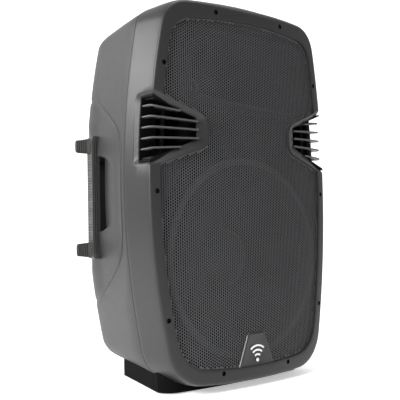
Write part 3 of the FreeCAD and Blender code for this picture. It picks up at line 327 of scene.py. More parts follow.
class Finish:
    """A material made of nodes."""

    def __init__(self, name):
        self.material = bpy.data.materials.new(name)
        self.material.use_nodes = True
        self.tree = self.material.node_tree
        self.tree.nodes.clear()
        self.spots = self.node("ShaderNodeTexCoord", output="Object")

    def node(self, kind, settings=None, sockets=None, output=0):
        made = self.tree.nodes.new(kind)
        for word, value in (settings or {}).items():
            if word == "stops":
                for index, (spot, colour) in enumerate(value):
                    stop = made.color_ramp.elements
                    mark = stop[index] if index < 2 else stop.new(spot)
                    mark.position = spot
                    mark.color = colour
            else:
                setattr(made, word, value)
        for word, value in (sockets or {}).items():
            if isinstance(value, Socket):
                self.tree.links.new(value.socket, made.inputs[word])
            else:
                made.inputs[word].default_value = value
        return Socket(self, made.outputs[output])

    def noise(self, scale, detail=2.0, spots=None, roughness=0.5):
        sockets = {"Vector": spots or self.spots, "Scale": scale, "Detail": detail}
        sockets["Roughness"] = roughness
        return self.node("ShaderNodeTexNoise", None, sockets)

    def tint(self, share, dark, light):
        """A colour between two, by a value."""
        stops = ((0.0, dark + (1,)), (1.0, light + (1,)))
        return self.node("ShaderNodeValToRGB", {"stops": stops}, {"Fac": share})

    def bump(self, height, depth, strength=1.0, under=None):
        sockets = {"Height": height, "Distance": depth, "Strength": strength}
        if under:
            sockets["Normal"] = under
        return self.node("ShaderNodeBump", None, sockets)

    def surface(self, **sockets):
        """Closes the material with one principled shader."""
        named = {word.replace("_", " ").title(): value for word, value in sockets.items()}
        named = {word.replace("Ior", "IOR"): value for word, value in named.items()}
        shader = self.node("ShaderNodeBsdfPrincipled", None, named)
        end = self.tree.nodes.new("ShaderNodeOutputMaterial")
        self.tree.links.new(shader.socket, end.inputs["Surface"])
        return self.material


def moulded_plastic(name, shade, gloss=0.44, grain=0.00013, warm=1.0, shine=0.5):
    """Textured ABS: a fine leathery pebble, a little patchy in shade and gloss."""
    finish = Finish(name)
    pebble = finish.node(
        "ShaderNodeTexVoronoi",
        {"feature": "SMOOTH_F1"},
        {"Vector": finish.spots, "Scale": 620.0, "Smoothness": 0.6, "Randomness": 1.0},
    )
    sand = finish.noise(1500.0, 3.0)
    cloud = finish.noise(7.0, 3.0)
    scuff = finish.noise(46.0, 4.0, roughness=0.7)
    share = pebble * 0.55 + sand * 0.25 + cloud * 0.3
    dark = (shade * 0.62 * warm, shade * 0.62, shade * 0.63)
    light = (shade * 1.38 * warm, shade * 1.36, shade * 1.36)
    return finish.surface(
        base_color=finish.tint(share, dark, light),
        roughness=gloss + (sand - 0.5) * 0.14 + (scuff - 0.5) * 0.10,
        normal=finish.bump(pebble * 0.7 + sand * 0.5, grain),
        specular_IOR_level=shine,
    )


front_plastic = moulded_plastic("front_plastic", 0.014, gloss=0.4, grain=0.0002, warm=1.03, shine=0.42)
# Painted shade: a near-black, low-shine copy of the moulding's plastic for the vent opening's inner
# wall, the screw recesses' walls and the fin spine, so that they read as shadow.
vent_painted_shade = moulded_plastic("vent_painted_shade", 0.003, gloss=0.7, shine=0.1)

vent_low_edge = 394.5
vent_high_edge = 522.0
rim_stops = ((vent_low_edge, 14, False), (vent_high_edge, 28, True), (0, 14, False))
recess_stops = ((397.0, 14, False), (515.8, 28, True), (0, 14, False))
recess_sizes = (198.5, 660.5, 37.5, 45.0, 66.0)
vent_first = end_steps + corner_steps + 14
vent_last = vent_first + 28
# places along each column where the rim starts and ends, its bend ends, and the vent ends
rim_station = 3
rim_end = 6
bend_end = 11
back_station = 17
side_shares = (0.22, 0.45, 0.66, 0.8, 0.91, 1.0)

recess = half_outline(recess_sizes, recess_stops)
recess_out = outward(recess)
skins = [half_outline(section_at(front_sections, depth), rim_stops) for depth in range(-2, 98)]


def skin_at(index, depth):
    """(across, height) of one row of the moulding's side at a depth."""
    spot = min(max(depth + 2, 0), len(skins) - 1.001)
    first = skins[int(spot)][index]
    second = skins[int(spot) + 1][index]
    return first + (second - first) * (spot - int(spot))


edge_depths = []
for index in range(len(recess)):
    depth = 15.0
    for _ in range(6):
        depth = front_depth(skin_at(index, depth)[0])
    edge_depths.append(depth)
edge = np.array([skin_at(index, depth) for index, depth in enumerate(edge_depths)])
edge_out = outward(edge)


recess_lip = ((0, 13), (0, 1.3), (0.35, 0.35), (1.3, 0))
parting_lip = ((76, 0), (82, 0), (89, 0), (95.4, 0), (96.6, 0.35), (97, 1.6), (97, 4))


def edge_profile(spot, normal):
    """The recess's wall and its rounded edge at one place of the grille's outline."""
    column = []
    for away, below in recess_lip:
        x, z = spot + normal * away
        column.append((x, front_depth(x) + below, z))
    return column


def moulding_column(index):
    column = edge_profile(recess[index], recess_out[index])
    depth = edge_depths[index]
    inner = recess[index] + recess_out[index] * recess_lip[-1][0]
    outer = edge[index] - edge_out[index] * rim_bend
    for share in (0.33, 0.67, 1.0):
        x, z = inner + (outer - inner) * share
        column.append((x, front_depth(x), z))
    start = depth + rim_bend
    x, z = skin_at(index, start)
    corner = (edge[index][0], depth, edge[index][1])
    column += bend_points(column[-1], corner, (x, start, z), bend_end - rim_end)
    for share in side_shares:
        deep = start + (vent_back_line - start) * share
        x, z = skin_at(index, deep)
        column.append((x, deep, z))
    for deep, tuck in parting_lip:
        x, z = skin_at(index, deep) - edge_out[index] * tuck
        column.append((x, deep, z))
    return column


columns = [moulding_column(index) for index in range(len(recess))]

# Each rim screw sits in a round recess: a patch of rim faces is left out and filled round it.
rim_screws = ((188.9, 569.7), (205.7, 351.0), (188.9, 133.3), (81.4, 670.3), (80.9, 32.8))
screw_recess = 4.4
screw_clear = 7.5
recess_wall = ((1.0, 0), (0.95, 0.6), (0.9, 4.5), (0.3, 4.8))
patches = []
for across, height in rim_screws:
    near = []
    for index, column in enumerate(columns):
        x, _, z = column[rim_station + 1]
        if math.hypot(x - across, z - height) < screw_clear:
            near.append(index)
    patches.append((near[0] - 1, near[-1] + 1, across, height))


def left_out(i, j):
    """Faces of the moulding that a vent or a screw takes up."""
    if vent_first <= i < vent_last and j < back_station:
        return True
    return any(first <= i < last and rim_station <= j < rim_end for first, last, _, _ in patches)


moulding = Mesh()
moulding.grid(columns, skip=left_out)
for first, last, across, height in patches:
    loop = [columns[i][rim_station] for i in range(first, last + 1)]
    loop += [columns[last][j] for j in range(rim_station + 1, rim_end)]
    loop += [columns[i][rim_end] for i in range(last, first - 1, -1)]
    loop += [columns[first][j] for j in range(rim_end - 1, rim_station, -1)]
    rings = []
    for shrink, below in recess_wall:
        ring = []
        for step in range(20):
            turn = 2 * math.pi * step / 20
            x = across + screw_recess * shrink * math.cos(turn)
            z = height + screw_recess * shrink * math.sin(turn)
            ring.append((x, front_depth(across if below else x) + below, z))
        rings.append(ring)
    moulding.fill(loop, rings[0])
    # The recess's wall takes the second finish, near black: painted shade in the recess.
    moulding.grid(rings, closed=True, paint=1)

# The vent's frame: its flat border meets the rim, then slopes down to the opening.

frame_sink = 7.0
side_reach = 38.0
mouth_low = 409.0
mouth_high = 508.0
mouth_side = 203.0
mouth_wall = 16
frame_slope = ((0.0, 0.02), (0.07, 0.35), (0.3, 2.2), (0.65, 4.9), (0.95, frame_sink))


def side_across(depth, height):
    """The moulding's half width at a depth and a height between its corners."""
    half = section_at(front_sections, depth)[0]
    return half - side_swell + math.sqrt(side_swell**2 - (height - side_middle) ** 2)


def front_edge_at(height):
    """Across and depth of the front's edge at a height."""
    depth = 20.0
    for _ in range(5):
        depth = front_depth(side_across(depth, height))
    return side_across(depth, height), depth


def round_skin(along, height, sunk=0.0, bend=rim_bend):
    """A point on or under the outside, along it from the front's edge: back is positive."""
    across, deep = front_edge_at(height)
    if along <= -bend:
        x = across + along
        lean = x / face_radius
        return (x - lean * sunk, front_depth(x) + sunk, height)
    if along >= bend:
        return (side_across(deep + along, height) - sunk, deep + along, height)
    t = (along + bend) / (2 * bend)
    start = (across - bend, front_depth(across - bend))
    end = (side_across(deep + bend, height), deep + bend)
    x = start[0] * (1 - t) ** 2 + 2 * across * t * (1 - t) + end[0] * t * t
    y = start[1] * (1 - t) ** 2 + 2 * deep * t * (1 - t) + end[1] * t * t
    lean = math.hypot(0.2 + 0.8 * t, 1 - t)
    return (x - (0.2 + 0.8 * t) / lean * sunk, y + (1 - t) / lean * sunk, height)


def rounded_path(corners, cut, straight=10, bend=6):
    """Points along straight runs with a soft bend at each inner corner."""
    points = [np.array(corners[0], float)]
    for index in range(1, len(corners)):
        start = points[-1]
        end = np.array(corners[index], float)
        away = (end - start) / np.linalg.norm(end - start)
        stop = end - away * cut if index < len(corners) - 1 else end
        points += [start + (stop - start) * step / straight for step in range(1, straight + 1)]
        if index < len(corners) - 1:
            following = np.array(corners[index + 1], float)
            leave = (following - end) / np.linalg.norm(following - end)
            points += [np.array(p) for p in bend_points(stop, end, end + leave * cut, bend)]
    return points


notch_edge = rounded_path(
    (tuple(recess[vent_last]), (103.0, 482.3), (102.2, 428.5), tuple(recess[vent_first])), 15
)
mouth_corners = ((mouth_side, mouth_high), (123.5, 478.5), (123.5, 442.6), (mouth_side, mouth_low))
mouth_edge = rounded_path(mouth_corners, 4)

notch_steps = np.gradient(np.array(notch_edge), axis=0)
notch_out = np.stack((-notch_steps[:, 1], notch_steps[:, 0]), axis=1)
notch_out /= np.linalg.norm(notch_out, axis=1)[:, None]
notch_out[0] = recess_out[vent_last]
notch_out[-1] = recess_out[vent_first]
notch_columns = [edge_profile(spot, normal) for spot, normal in zip(notch_edge, notch_out)]
notch_columns[0] = columns[vent_last][: rim_station + 1]
notch_columns[-1] = columns[vent_first][: rim_station + 1]
moulding.grid(notch_columns)


def row_places(index):
    """(along, height) of one row of the moulding from the rim's inner edge to the vent's back."""
    column = columns[index]
    height = column[bend_end - 1][2]
    across, deep = front_edge_at(height)
    places = []
    for station in range(rim_station, back_station + 1):
        x, y, z = column[station]
        if station <= rim_end:
            along = x - across
        elif station <= bend_end:
            along = -rim_bend + 2 * rim_bend * (station - rim_end) / (bend_end - rim_end)
        else:
            along = y - deep
        places.append((along, z))
    return places


top_row = row_places(vent_last)
foot_row = row_places(vent_first)
rear = [columns[i][back_station] for i in range(vent_last, vent_first - 1, -1)]
outer_ring = [column[rim_station] for column in notch_columns[::-1]]
outer_ring += columns[vent_last][rim_station + 1 : back_station]
outer_ring += rear
outer_ring += columns[vent_first][rim_station + 1 : back_station][::-1]

outer_places = []
mouth_places = []
for outer, mouth in zip(notch_columns[::-1], mouth_edge[::-1]):
    x, _, z = outer[rim_station]
    outer_places.append((x - front_edge_at(z)[0], z))
    mouth_places.append((mouth[0] - front_edge_at(mouth[1])[0], mouth[1]))
start_along = mouth_places[-1][0]
far_along = top_row[-1][0]


def mouth_along(along):
    """The opening's place for a place along the border."""
    if along < 0:
        return start_along * along / top_row[0][0]
    return along * side_reach / far_along


for along, height in top_row[1:-1]:
    outer_places.append((along, height))
    mouth_places.append((mouth_along(along), mouth_high))
rear_heights = [point[2] for point in rear]
for height in rear_heights:
    share = (height - vent_low_edge) / (vent_high_edge - vent_low_edge)
    outer_places.append((far_along, height))
    mouth_places.append((side_reach, mouth_low + share * (mouth_high - mouth_low)))
for along, height in foot_row[1:-1][::-1]:
    outer_places.append((along, height))
    mouth_places.append((mouth_along(along), mouth_low))


def soft_corner(along, height, far, low, high, radius):
    """Pulls a place near a square rear corner onto a round one."""
    if along <= far - radius:
        return along, height
    centre_height = min(max(height, low + radius), high - radius)
    if centre_height == height:
        return along, height
    dx = along - (far - radius)
    dz = height - centre_height
    reach = math.hypot(dx, dz)
    if reach <= radius:
        return along, height
    return far - radius + dx / reach * radius, centre_height + dz / reach * radius


front_count = len(notch_columns)
flush = []
lips = []
for index, ((along, height), (inner, mouth_height)) in enumerate(zip(outer_places, mouth_places)):
    if index >= front_count:
        along, height = soft_corner(along, height, far_along, vent_low_edge, vent_high_edge, 13)
        inner, mouth_height = soft_corner(inner, mouth_height, side_reach, mouth_low, mouth_high, 5)
    flush.append((along, height))
    lips.append((inner, mouth_height))


def frame_ring(share, sunk):
    ring = []
    for (along, height), (inner, mouth_height) in zip(flush, lips):
        ring.append(
            round_skin(
                along + (inner - along) * share,
                height + (mouth_height - height) * share,
                sunk,
                rim_bend + 5 * share,
            )
        )
    return ring


frame_rings = [outer_ring]
for share, sunk in frame_slope:
    frame_rings.append(frame_ring(share, sunk))
frame_rings.append(frame_ring(1.0, frame_sink + 0.9))
moulding.grid(frame_rings, closed=True)
# The opening's inner wall takes the second finish, near black: painted shade inside the vent.
moulding.grid([frame_rings[-1], frame_ring(1.0, frame_sink + mouth_wall)], closed=True, paint=1)
moulding.mirror()
front_piece = moulding.piece("front_moulding", [front_plastic, vent_painted_shade], "front_plastic")
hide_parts("front_baffle")

# Rim screws. Ten black steel pan heads with a hexagonal socket, sunk below the rim, that hold
# the front moulding to the rear shell.

screw_rings = (
    (3.2, 4.9, False),
    (3.2, 3.9, False),
    (2.9, 3.4, False),
    (2.4, 3.2, False),
    (1.75, 3.2, True),
    (1.7, 4.4, True),
)
heads = Mesh()
for across, height in rim_screws:
    rings = []
    for radius, below, hexagonal in screw_rings:
        ring = []
        for step in range(24):
            turn = 2 * math.pi * step / 24
            reach = radius
            if hexagonal:
                reach = radius * math.cos(math.pi / 6) / math.cos(turn % (math.pi / 3) - math.pi / 6)
            x = across + reach * math.cos(turn)
            ring.append((x, front_depth(across) + below, height + reach * math.sin(turn)))
        rings.append(ring)
    heads.tube(rings)
heads.mirror()
screw_coat = Finish("screw_coat")
wear = screw_coat.noise(700.0, 3.0)
screw_paint = screw_coat.surface(
    base_color=screw_coat.tint(wear, (0.004, 0.004, 0.004), (0.012, 0.012, 0.012)),
    roughness=0.4 + wear * 0.2,
    metallic=0.4,
)
heads_piece = heads.piece("rim_screw_heads", [screw_paint], "black_screw", sharp=35)
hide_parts("rim_screws")

# Front board. The flat wall moulded behind the recess, with a round hole for the woofer and a
# rounded one for the horn. It is black plastic, darkened further as painted shade, so that it
# stays hidden behind the grille.

board_depth = 32.0
board_thickness = 12.0
board_shrink = 0.995
board_bevel = 0.4
woofer_height = 231.0
woofer_hole = 171.0
horn_height = 574.0
horn_half_width = 154.0
horn_half_height = 70.0
horn_corner = 15.0


def rounded_loop(half_width, low, high, corner, steps=8):
    """A rounded rectangle as (across, height) points."""
    loop = []
    middles = ((1, high), (-1, high), (-1, low), (1, low))
    for quarter, (side, end) in enumerate(middles):
        x = side * (half_width - corner)
        z = end - corner if end == high else end + corner
        for step in range(steps + 1):
            turn = math.pi / 2 * (quarter + step / steps)
            loop.append((x + corner * math.cos(turn), z + corner * math.sin(turn)))
    return loop


turns = [2 * math.pi * step / 96 for step in range(96)]
woofer_loop = [(woofer_hole * math.cos(a), woofer_height + woofer_hole * math.sin(a)) for a in turns]
horn_low = horn_height - horn_half_height
horn_loop = rounded_loop(horn_half_width, horn_low, horn_height + horn_half_height, horn_corner)
board_edge = [(x * board_shrink, 2 + z * board_shrink) for x, z in recess]
right_edge = board_edge[: vent_first - 4] + [(119.0, 420.0), (119.0, 500.0)]
right_edge += board_edge[vent_last + 4 :]
board_loop = right_edge + [(-x, z) for x, z in right_edge[::-1]][1:-1]
outline = bpy.data.curves.new("front_board", "CURVE")
outline.dimensions = "2D"
outline.fill_mode = "BOTH"
outline.extrude = board_thickness / 2000
outline.bevel_depth = board_bevel / 1000
for loop in (board_loop, woofer_loop, horn_loop):
    spline = outline.splines.new("POLY")
    spline.points.add(len(loop) - 1)
    for point, (x, z) in zip(spline.points, loop):
        point.co = (x / 1000, z / 1000, 0, 1)
    spline.use_cyclic_u = True
holder = bpy.data.objects.new("board_outline", outline)
board = bpy.data.meshes.new_from_object(holder)
bpy.data.objects.remove(holder)
board.transform(mathutils.Matrix.Rotation(math.pi / 2, 4, "X"))
board_middle = front_line + (board_depth + board_thickness / 2) / 1000
board.transform(mathutils.Matrix.Translation((0, board_middle, 0)))
board.materials.clear()
# Near black: the board's own black, darkened further as painted shade behind the grille.
board.materials.append(moulded_plastic("board_black_and_shade", 0.002, gloss=0.7, shine=0.1))
board_piece = bpy.data.objects.new("front_board", board)
bpy.context.scene.collection.objects.link(board_piece)
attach(board_piece, "cabinet")

# Grille. Perforated steel sheet, about 4 mm holes on a 5 mm triangular pitch, rolled to the
# front's curve, powder coated black and held in the recess by the moulding's lip.

hole_pitch = 5.0
hole_radius = 2.25
sheet_recess = 5.0
sheet_thickness = 1.1
hole_margin = 2.4
hole_columns = 46
hole_rows = range(5, 134)
badge_low, badge_high, badge_foot, badge_head = 32.0, 97.0, 45.0, 20.0

notch_inside = [tuple(spot) for spot in notch_edge[::-1]][1:-1]
right_loop = [tuple(spot) for spot in recess[: vent_first + 1]]
right_loop += notch_inside
right_loop += [tuple(spot) for spot in recess[vent_last:]]
sheet_loop = right_loop + [(-x, z) for x, z in right_loop[::-1]][1:-1]
loop_points = np.array(sheet_loop)


def inside_loop(spots, loop):
    """Which spots lie inside a closed loop, and how far each is from it."""
    inside = np.zeros(len(spots), bool)
    nearest = np.full(len(spots), 1e9)
    for start, end in zip(loop, np.roll(loop, -1, axis=0)):
        crosses = (start[1] > spots[:, 1]) != (end[1] > spots[:, 1])
        rise = end[1] - start[1] if abs(end[1] - start[1]) > 1e-12 else 1e-12
        meets = (end[0] - start[0]) * (spots[:, 1] - start[1]) / rise + start[0]
        inside ^= crosses & (spots[:, 0] < meets)
        run = end - start
        share = np.clip(((spots - start) @ run) / max(run @ run, 1e-12), 0, 1)
        away = spots - (start + share[:, None] * run)
        nearest = np.minimum(nearest, np.hypot(away[:, 0], away[:, 1]))
    return inside, nearest


centres = []
column_gap = hole_pitch * math.sqrt(3) / 2
for column in range(-hole_columns, hole_columns + 1):
    for row in hole_rows:
        shift = hole_pitch / 2 if column % 2 else 0
        centres.append((column * column_gap, row * hole_pitch + shift))
centres = np.array(centres)
inside, nearest = inside_loop(centres, loop_points)
lean = (centres[:, 1] - badge_low) / (badge_high - badge_low)
behind_badge = np.abs(centres[:, 0]) < badge_foot + (badge_head - badge_foot) * lean - 5
behind_badge &= (centres[:, 1] < badge_high - 4) & (centres[:, 1] > badge_low)
centres = centres[inside & (nearest > hole_margin) & ~behind_badge]

hexagon = [(math.cos(math.pi / 3 * k), math.sin(math.pi / 3 * k)) for k in range(6)]
hole_spots = [(x + hole_radius * c, z + hole_radius * s) for x, z in centres for c, s in hexagon]
hole_count = len(hole_spots)
flat = [mathutils.Vector(spot) for spot in hole_spots + sheet_loop]
sides = [(i, i + 1 if i % 6 < 5 else i - 5) for i in range(hole_count)]
loop_count = len(sheet_loop)
sides += [(hole_count + i, hole_count + (i + 1) % loop_count) for i in range(loop_count)]
spots, _, faces, origins, _, _ = mathutils.geometry.delaunay_2d_cdt(flat, sides, [], 1, 1e-5)
sheet = Mesh()
everything = hole_spots + sheet_loop
sheet.points = [(x, front_depth(x, sheet_recess), z) for x, z in everything]
corners = np.array([[origins[corner][0] for corner in face] for face in faces])
flat_array = np.array(everything)
middles = flat_array[corners].mean(axis=1)
in_hole = (corners < hole_count).all(axis=1)
in_hole &= (corners // 6 == corners[:, :1] // 6).all(axis=1)
kept = ~in_hole
edge_faces = (corners >= hole_count).any(axis=1)
kept[edge_faces] &= inside_loop(middles[edge_faces], loop_points)[0]
sheet.faces = [tuple(int(corner) for corner in face) for face in corners[kept]]
back = len(sheet.points)
sheet.points += [
    (x, front_depth(x, sheet_recess) + sheet_thickness, z) for x, z in hole_spots
]
for i, j in sides[:hole_count]:
    sheet.faces.append((i, j, back + j, back + i))
sheet.paints = [0] * len(sheet.faces)

grille_coat = Finish("grille_coat")
orange = grille_coat.noise(900.0, 3.0)
dust = grille_coat.noise(20.0, 4.0)
grille_paint = grille_coat.surface(
    base_color=grille_coat.tint(
        dust * 0.6 + orange * 0.4, (0.046, 0.046, 0.049), (0.08, 0.08, 0.085)
    ),
    roughness=0.36 + orange * 0.2,
    metallic=0.0,
    normal=grille_coat.bump(orange, 0.00006),
)
grille_piece = sheet.piece("grille_sheet", [grille_paint], "black_paint", outside=False, sharp=20)
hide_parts("grille")

# Vent fins. Five black ABS blades in each opening, moulded on one spine, that follow the
# cabinet round its corner. They clip in from behind before the duct goes on.

fin_sink = 2.0
fin_chord = 14.0
fin_bend = 12.0
fin_rows = (
    (422.8, 427.0, 160.0),
    (441.0, 443.5, 124.0),
    (459.9, 458.5, 124.0),
    (478.3, 473.0, 124.0),
    (497.2, 489.5, 160.0),
)
fin_section = [(1.7 - 1.7 * math.cos(a), 1.7 * math.sin(a)) for a in np.linspace(-1.57, 1.57, 7)]
fin_section = [(fin_sink + s, h) for s, h in fin_section]
fin_section += [(fin_sink + fin_chord, 1.2), (fin_sink + fin_chord, -1.2)]
blades = Mesh()
for side_height, front_height, inner in fin_rows:
    rows = []
    start = inner - 2.5 - front_edge_at(front_height)[0]
    stops = list(np.linspace(start, -fin_bend, 9)) + list(np.linspace(-fin_bend, fin_bend, 9))[1:]
    stops += list(np.linspace(fin_bend, side_reach + 1.5, 6))[1:]
    for along in stops:
        share = min(max((along - start) / (fin_bend - start), 0), 1)
        height = front_height + (side_height - front_height) * share
        rows.append([round_skin(along, height + h, s, fin_bend) for s, h in fin_section])
    blades.tube(rows)
spine_corners = ((-32, 15), (-29, 15), (-29, 24), (-32, 24))
spine = []
for height in (422.0, 498.0):
    spine.append([round_skin(along, height, sunk, fin_bend) for along, sunk in spine_corners])
# The spine takes the second finish, near black: painted shade that hides it inside the vent.
blades.tube(spine, paint=1)
fin_plastic = moulded_plastic("fin_plastic", 0.05, gloss=0.35)
blades.pair("vent_blades", [fin_plastic, vent_painted_shade], "fin_plastic", "vent_fins")

# Rear shell. The deep back half of the cabinet, moulded in the same textured ABS: its sides
# taper and round off to the back, with a dish pressed in round each handle behind a fine bead.

handle_angle = 15.6
rear_sections = (
    (98, 219.9, 696.4, 6, 48, 82),
    (178, 197.8, 696.4, 15, 42, 70),
    (258, 175.6, 696, 21, 40, 58),
    (325, 156.0, 693, 27, 38, 48),
    (365, 126.0, 672, 36, 46, 42),
)
hand_low = 284.0
hand_high = 432.0
rear_stops = (
    (152.0, 6, False),
    (hand_low, 22, False),
    (hand_high, 24, False),
    (543.0, 18, False),
    (0, 8, False),
)
scoop_front = 165.0
scoop_back = 331.0
panel_half = 92.6
panel_low = 111.4
panel_high = 560.6
panel_face = 353.0
back_face = 365.0
# distance back from the bead's line, and height, of each point across it
crease_band = (
    (-1.7, 0), (-0.9, 0.8), (0, 1.1), (0.9, 0.6), (1.9, -0.2), (6, -1.3), (11, -2.8), (18, -4.2),
)
dish_depth = 4.2

handle_first = end_steps + corner_steps + 6 + 22
handle_last = handle_first + 24


def soft_ramp(distance, width):
    """Nothing below zero and the distance itself above, with a soft turn between."""
    return width * math.log1p(math.exp(min(distance / width, 30)))


def crease_at(height):
    """Depth of the bead round the dish at a height."""
    bounded = min(max(height, 140), 555)
    return 115 + 1.95 * soft_ramp(bounded - 462, 12) + 2.1 * soft_ramp(235 - bounded, 16)


def ease(value, start, end):
    share = min(max((value - start) / (end - start), 0), 1)
    return share * share * (3 - 2 * share)


def dish_share(height, depth):
    """How strongly the dish is pressed in, fading out at its two ends and at the back."""
    ends = ease(height, 128, 160) * (1 - ease(height, 535, 570))
    beside = ease(height, 200, 238) * (1 - ease(height, 466, 504))
    narrow = 1 - ease(depth, 250, 312)
    full = 1 - ease(depth, 330, 352)
    return ends * (narrow + (full - narrow) * beside)


rear_skins = [half_outline(section_at(rear_sections, depth), rear_stops) for depth in range(98, 366)]


def rear_at(index, depth):
    spot = min(max(depth - 98, 0), len(rear_skins) - 1.001)
    first = rear_skins[int(spot)][index]
    second = rear_skins[int(spot) + 1][index]
    return first + (second - first) * (spot - int(spot))


rear_out = [outward(skin) for skin in rear_skins[::10]]


def rear_point(index, depth, raise_by=0.0):
    """A point of the rear shell's outside, raised or pressed in along its outline's normal."""
    x, z = rear_at(index, depth)
    normal = rear_out[min(int((depth - 98) / 10), len(rear_out) - 1)][index]
    return (x + normal[0] * raise_by, depth, z + normal[1] * raise_by)


def rear_column(index):
    height = rear_at(index, 200)[1]
    crease = crease_at(height)
    slope = abs(crease_at(min(height + 2, 550)) - crease_at(max(height - 2, 145))) / 4
    stretch = math.hypot(1, slope)
    column = []
    x, _, z = rear_point(index, 98, -4)
    column.append((x, 98, z))
    for depth, tuck in ((98, -1.6), (98.4, -0.35), (99.6, 0)):
        column.append(rear_point(index, depth, tuck))
    start = crease + crease_band[0][0] * stretch
    for share in (0.25, 0.5, 0.75):
        column.append(rear_point(index, 99.6 + (start - 99.6) * share))
    for away, height_change in crease_band:
        depth = min(crease + away * stretch, 350)
        column.append(rear_point(index, depth, height_change * dish_share(height, depth)))
    end = column[-1][1]
    front = max(scoop_front, end + 3)
    rear = min(max(scoop_back, front + 5), 358)
    stops = [end + (front - end) * share for share in (0.5, 1.0)]
    stops += [front + (rear - front) * step / 14 for step in range(1, 15)]
    stops += [rear + (back_face - 0.5 - rear) * share for share in (0.25, 0.5, 0.75, 0.9, 1.0)]
    for depth in stops:
        column.append(rear_point(index, depth, -dish_depth * dish_share(height, depth)))
    return column


rear_columns = [rear_column(index) for index in range(len(rear_skins[0]))]
scoop_first = 4 + 3 + len(crease_band) + 1
scoop_last = scoop_first + 14

panel_sizes = (panel_half, panel_high, panel_low, 9.0, 9.0)
panel_edge = half_outline(panel_sizes, rear_stops, 4e5, 4e5)
panel_out = outward(panel_edge)
for index, column in enumerate(rear_columns):
    last = column[-1]
    rim = np.array((last[0], last[2]))
    normal = rear_out[-1][index]
    turned_in = rim - normal * 4.0
    corner = (last[0], back_face, last[2])
    column += bend_points(last, corner, (turned_in[0], back_face, turned_in[1]), 4)
    inner = panel_edge[index] + panel_out[index] * 1.2
    for share in (0.5, 1.0):
        x, z = turned_in + (inner - turned_in) * share
        column.append((x, back_face, z))
    x, z = panel_edge[index] + panel_out[index] * 0.35
    column.append((x, back_face - 0.35, z))
    x, z = panel_edge[index]
    column.append((x, back_face - 1.2, z))
    column.append((x, panel_face - 1.0, z))

rear_plastic = moulded_plastic("rear_plastic", 0.017, gloss=0.45, grain=0.0002, warm=0.98, shine=0.3)
shell = Mesh()
shell.grid(
    rear_columns,
    skip=lambda i, j: handle_first <= i < handle_last and scoop_first <= j < scoop_last,
)
shell.mirror()
shell_piece = shell.piece("rear_housing", [rear_plastic], "rear_plastic", sharp=38)
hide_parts("rear_shell")

# Hand pockets. A shallow scoop leads the fingers in behind the bar, where the pocket drops
# deep enough to close a hand. Each is a separate moulding welded into the rear shell.

pocket_depth = 43.0
pocket_front = 258.0
scoop_depth = 15.0


def pocket_fall(depth):
    """How deep the pocket is at a distance back, before its end walls."""
    scoop = scoop_depth * ease(depth, scoop_front - 6, pocket_front + 40) * 1.25
    drop = pocket_depth - 18
    return scoop + drop * ease(depth, pocket_front, pocket_front + 7)


scoop_stops = [scoop_front + share for share in (0, 2, 5, 12, 22, 34, 48, 62, 76, 90)]
scoop_stops += [pocket_front + share for share in (0, 1.2, 2.6, 4.4, 7, 20, 40)]
scoop_stops += [scoop_back - share for share in (8, 4.5, 3, 2, 1, 0)]
cup = Mesh()
cup_rows = []


def cup_point(height, depth, fall):
    """A point of the pocket, at a height between the shell's rows."""
    span = [rear_at(index, depth)[1] for index in (handle_first, handle_last)]
    share = (height - span[0]) / (span[1] - span[0]) * 24
    low = min(int(share), 23)
    sunk = -dish_depth * dish_share(350, depth) - fall
    first = np.array(rear_point(handle_first + low, depth, sunk))
    second = np.array(rear_point(handle_first + low + 1, depth, sunk))
    spot = first + (second - first) * (share - low)
    return (spot[0], depth, height)


wall_steps = (0, 0.6, 1.3, 2.2, 3.5, 5.0, 7.0, 9.5, 12.5, 16.0, 20.0)
heights = [hand_low + step for step in wall_steps]
heights += [hand_low + 20 + (hand_high - hand_low - 40) * step / 12 for step in range(1, 12)]
heights += [hand_high - step for step in wall_steps[::-1]]
for height in heights:
    row = []
    end = min(height - hand_low, hand_high - height)
    for depth in scoop_stops:
        slant = 13 * (1 - ease(depth, scoop_front, pocket_front + 10))
        wide = 3 + 0.5 * slant
        fall = pocket_fall(depth) * ease(end, slant, slant + wide)
        row.append(cup_point(height, depth, fall * (1 - ease(depth, scoop_back - 4.5, scoop_back))))
    cup_rows.append(row)
cup.grid(cup_rows)
cup.pair("hand_pocket", [rear_plastic], "rear_plastic", "handle_cup", outside=False)

# Grip bars. Each handle is a thick bar of glass-filled nylon across the pocket, with fine ribs
# on its outside against slipping and a foot at each end that is screwed from inside.

bar_low = 232.0
bar_high = 472.0
bar_across = 165.0
bar_depth = 289.0
bar_half = 19.0
rib_pitch = 5.4
foot_flare = 8.0


def beside_handle(outward_by, backward, height, side=1):
    """From the handle's own directions to the cabinet's."""
    turn = math.radians(handle_angle)
    x = bar_across + outward_by * math.cos(turn) - backward * math.sin(turn)
    y = bar_depth + outward_by * math.sin(turn) + backward * math.cos(turn)
    return (x * side, y, height)


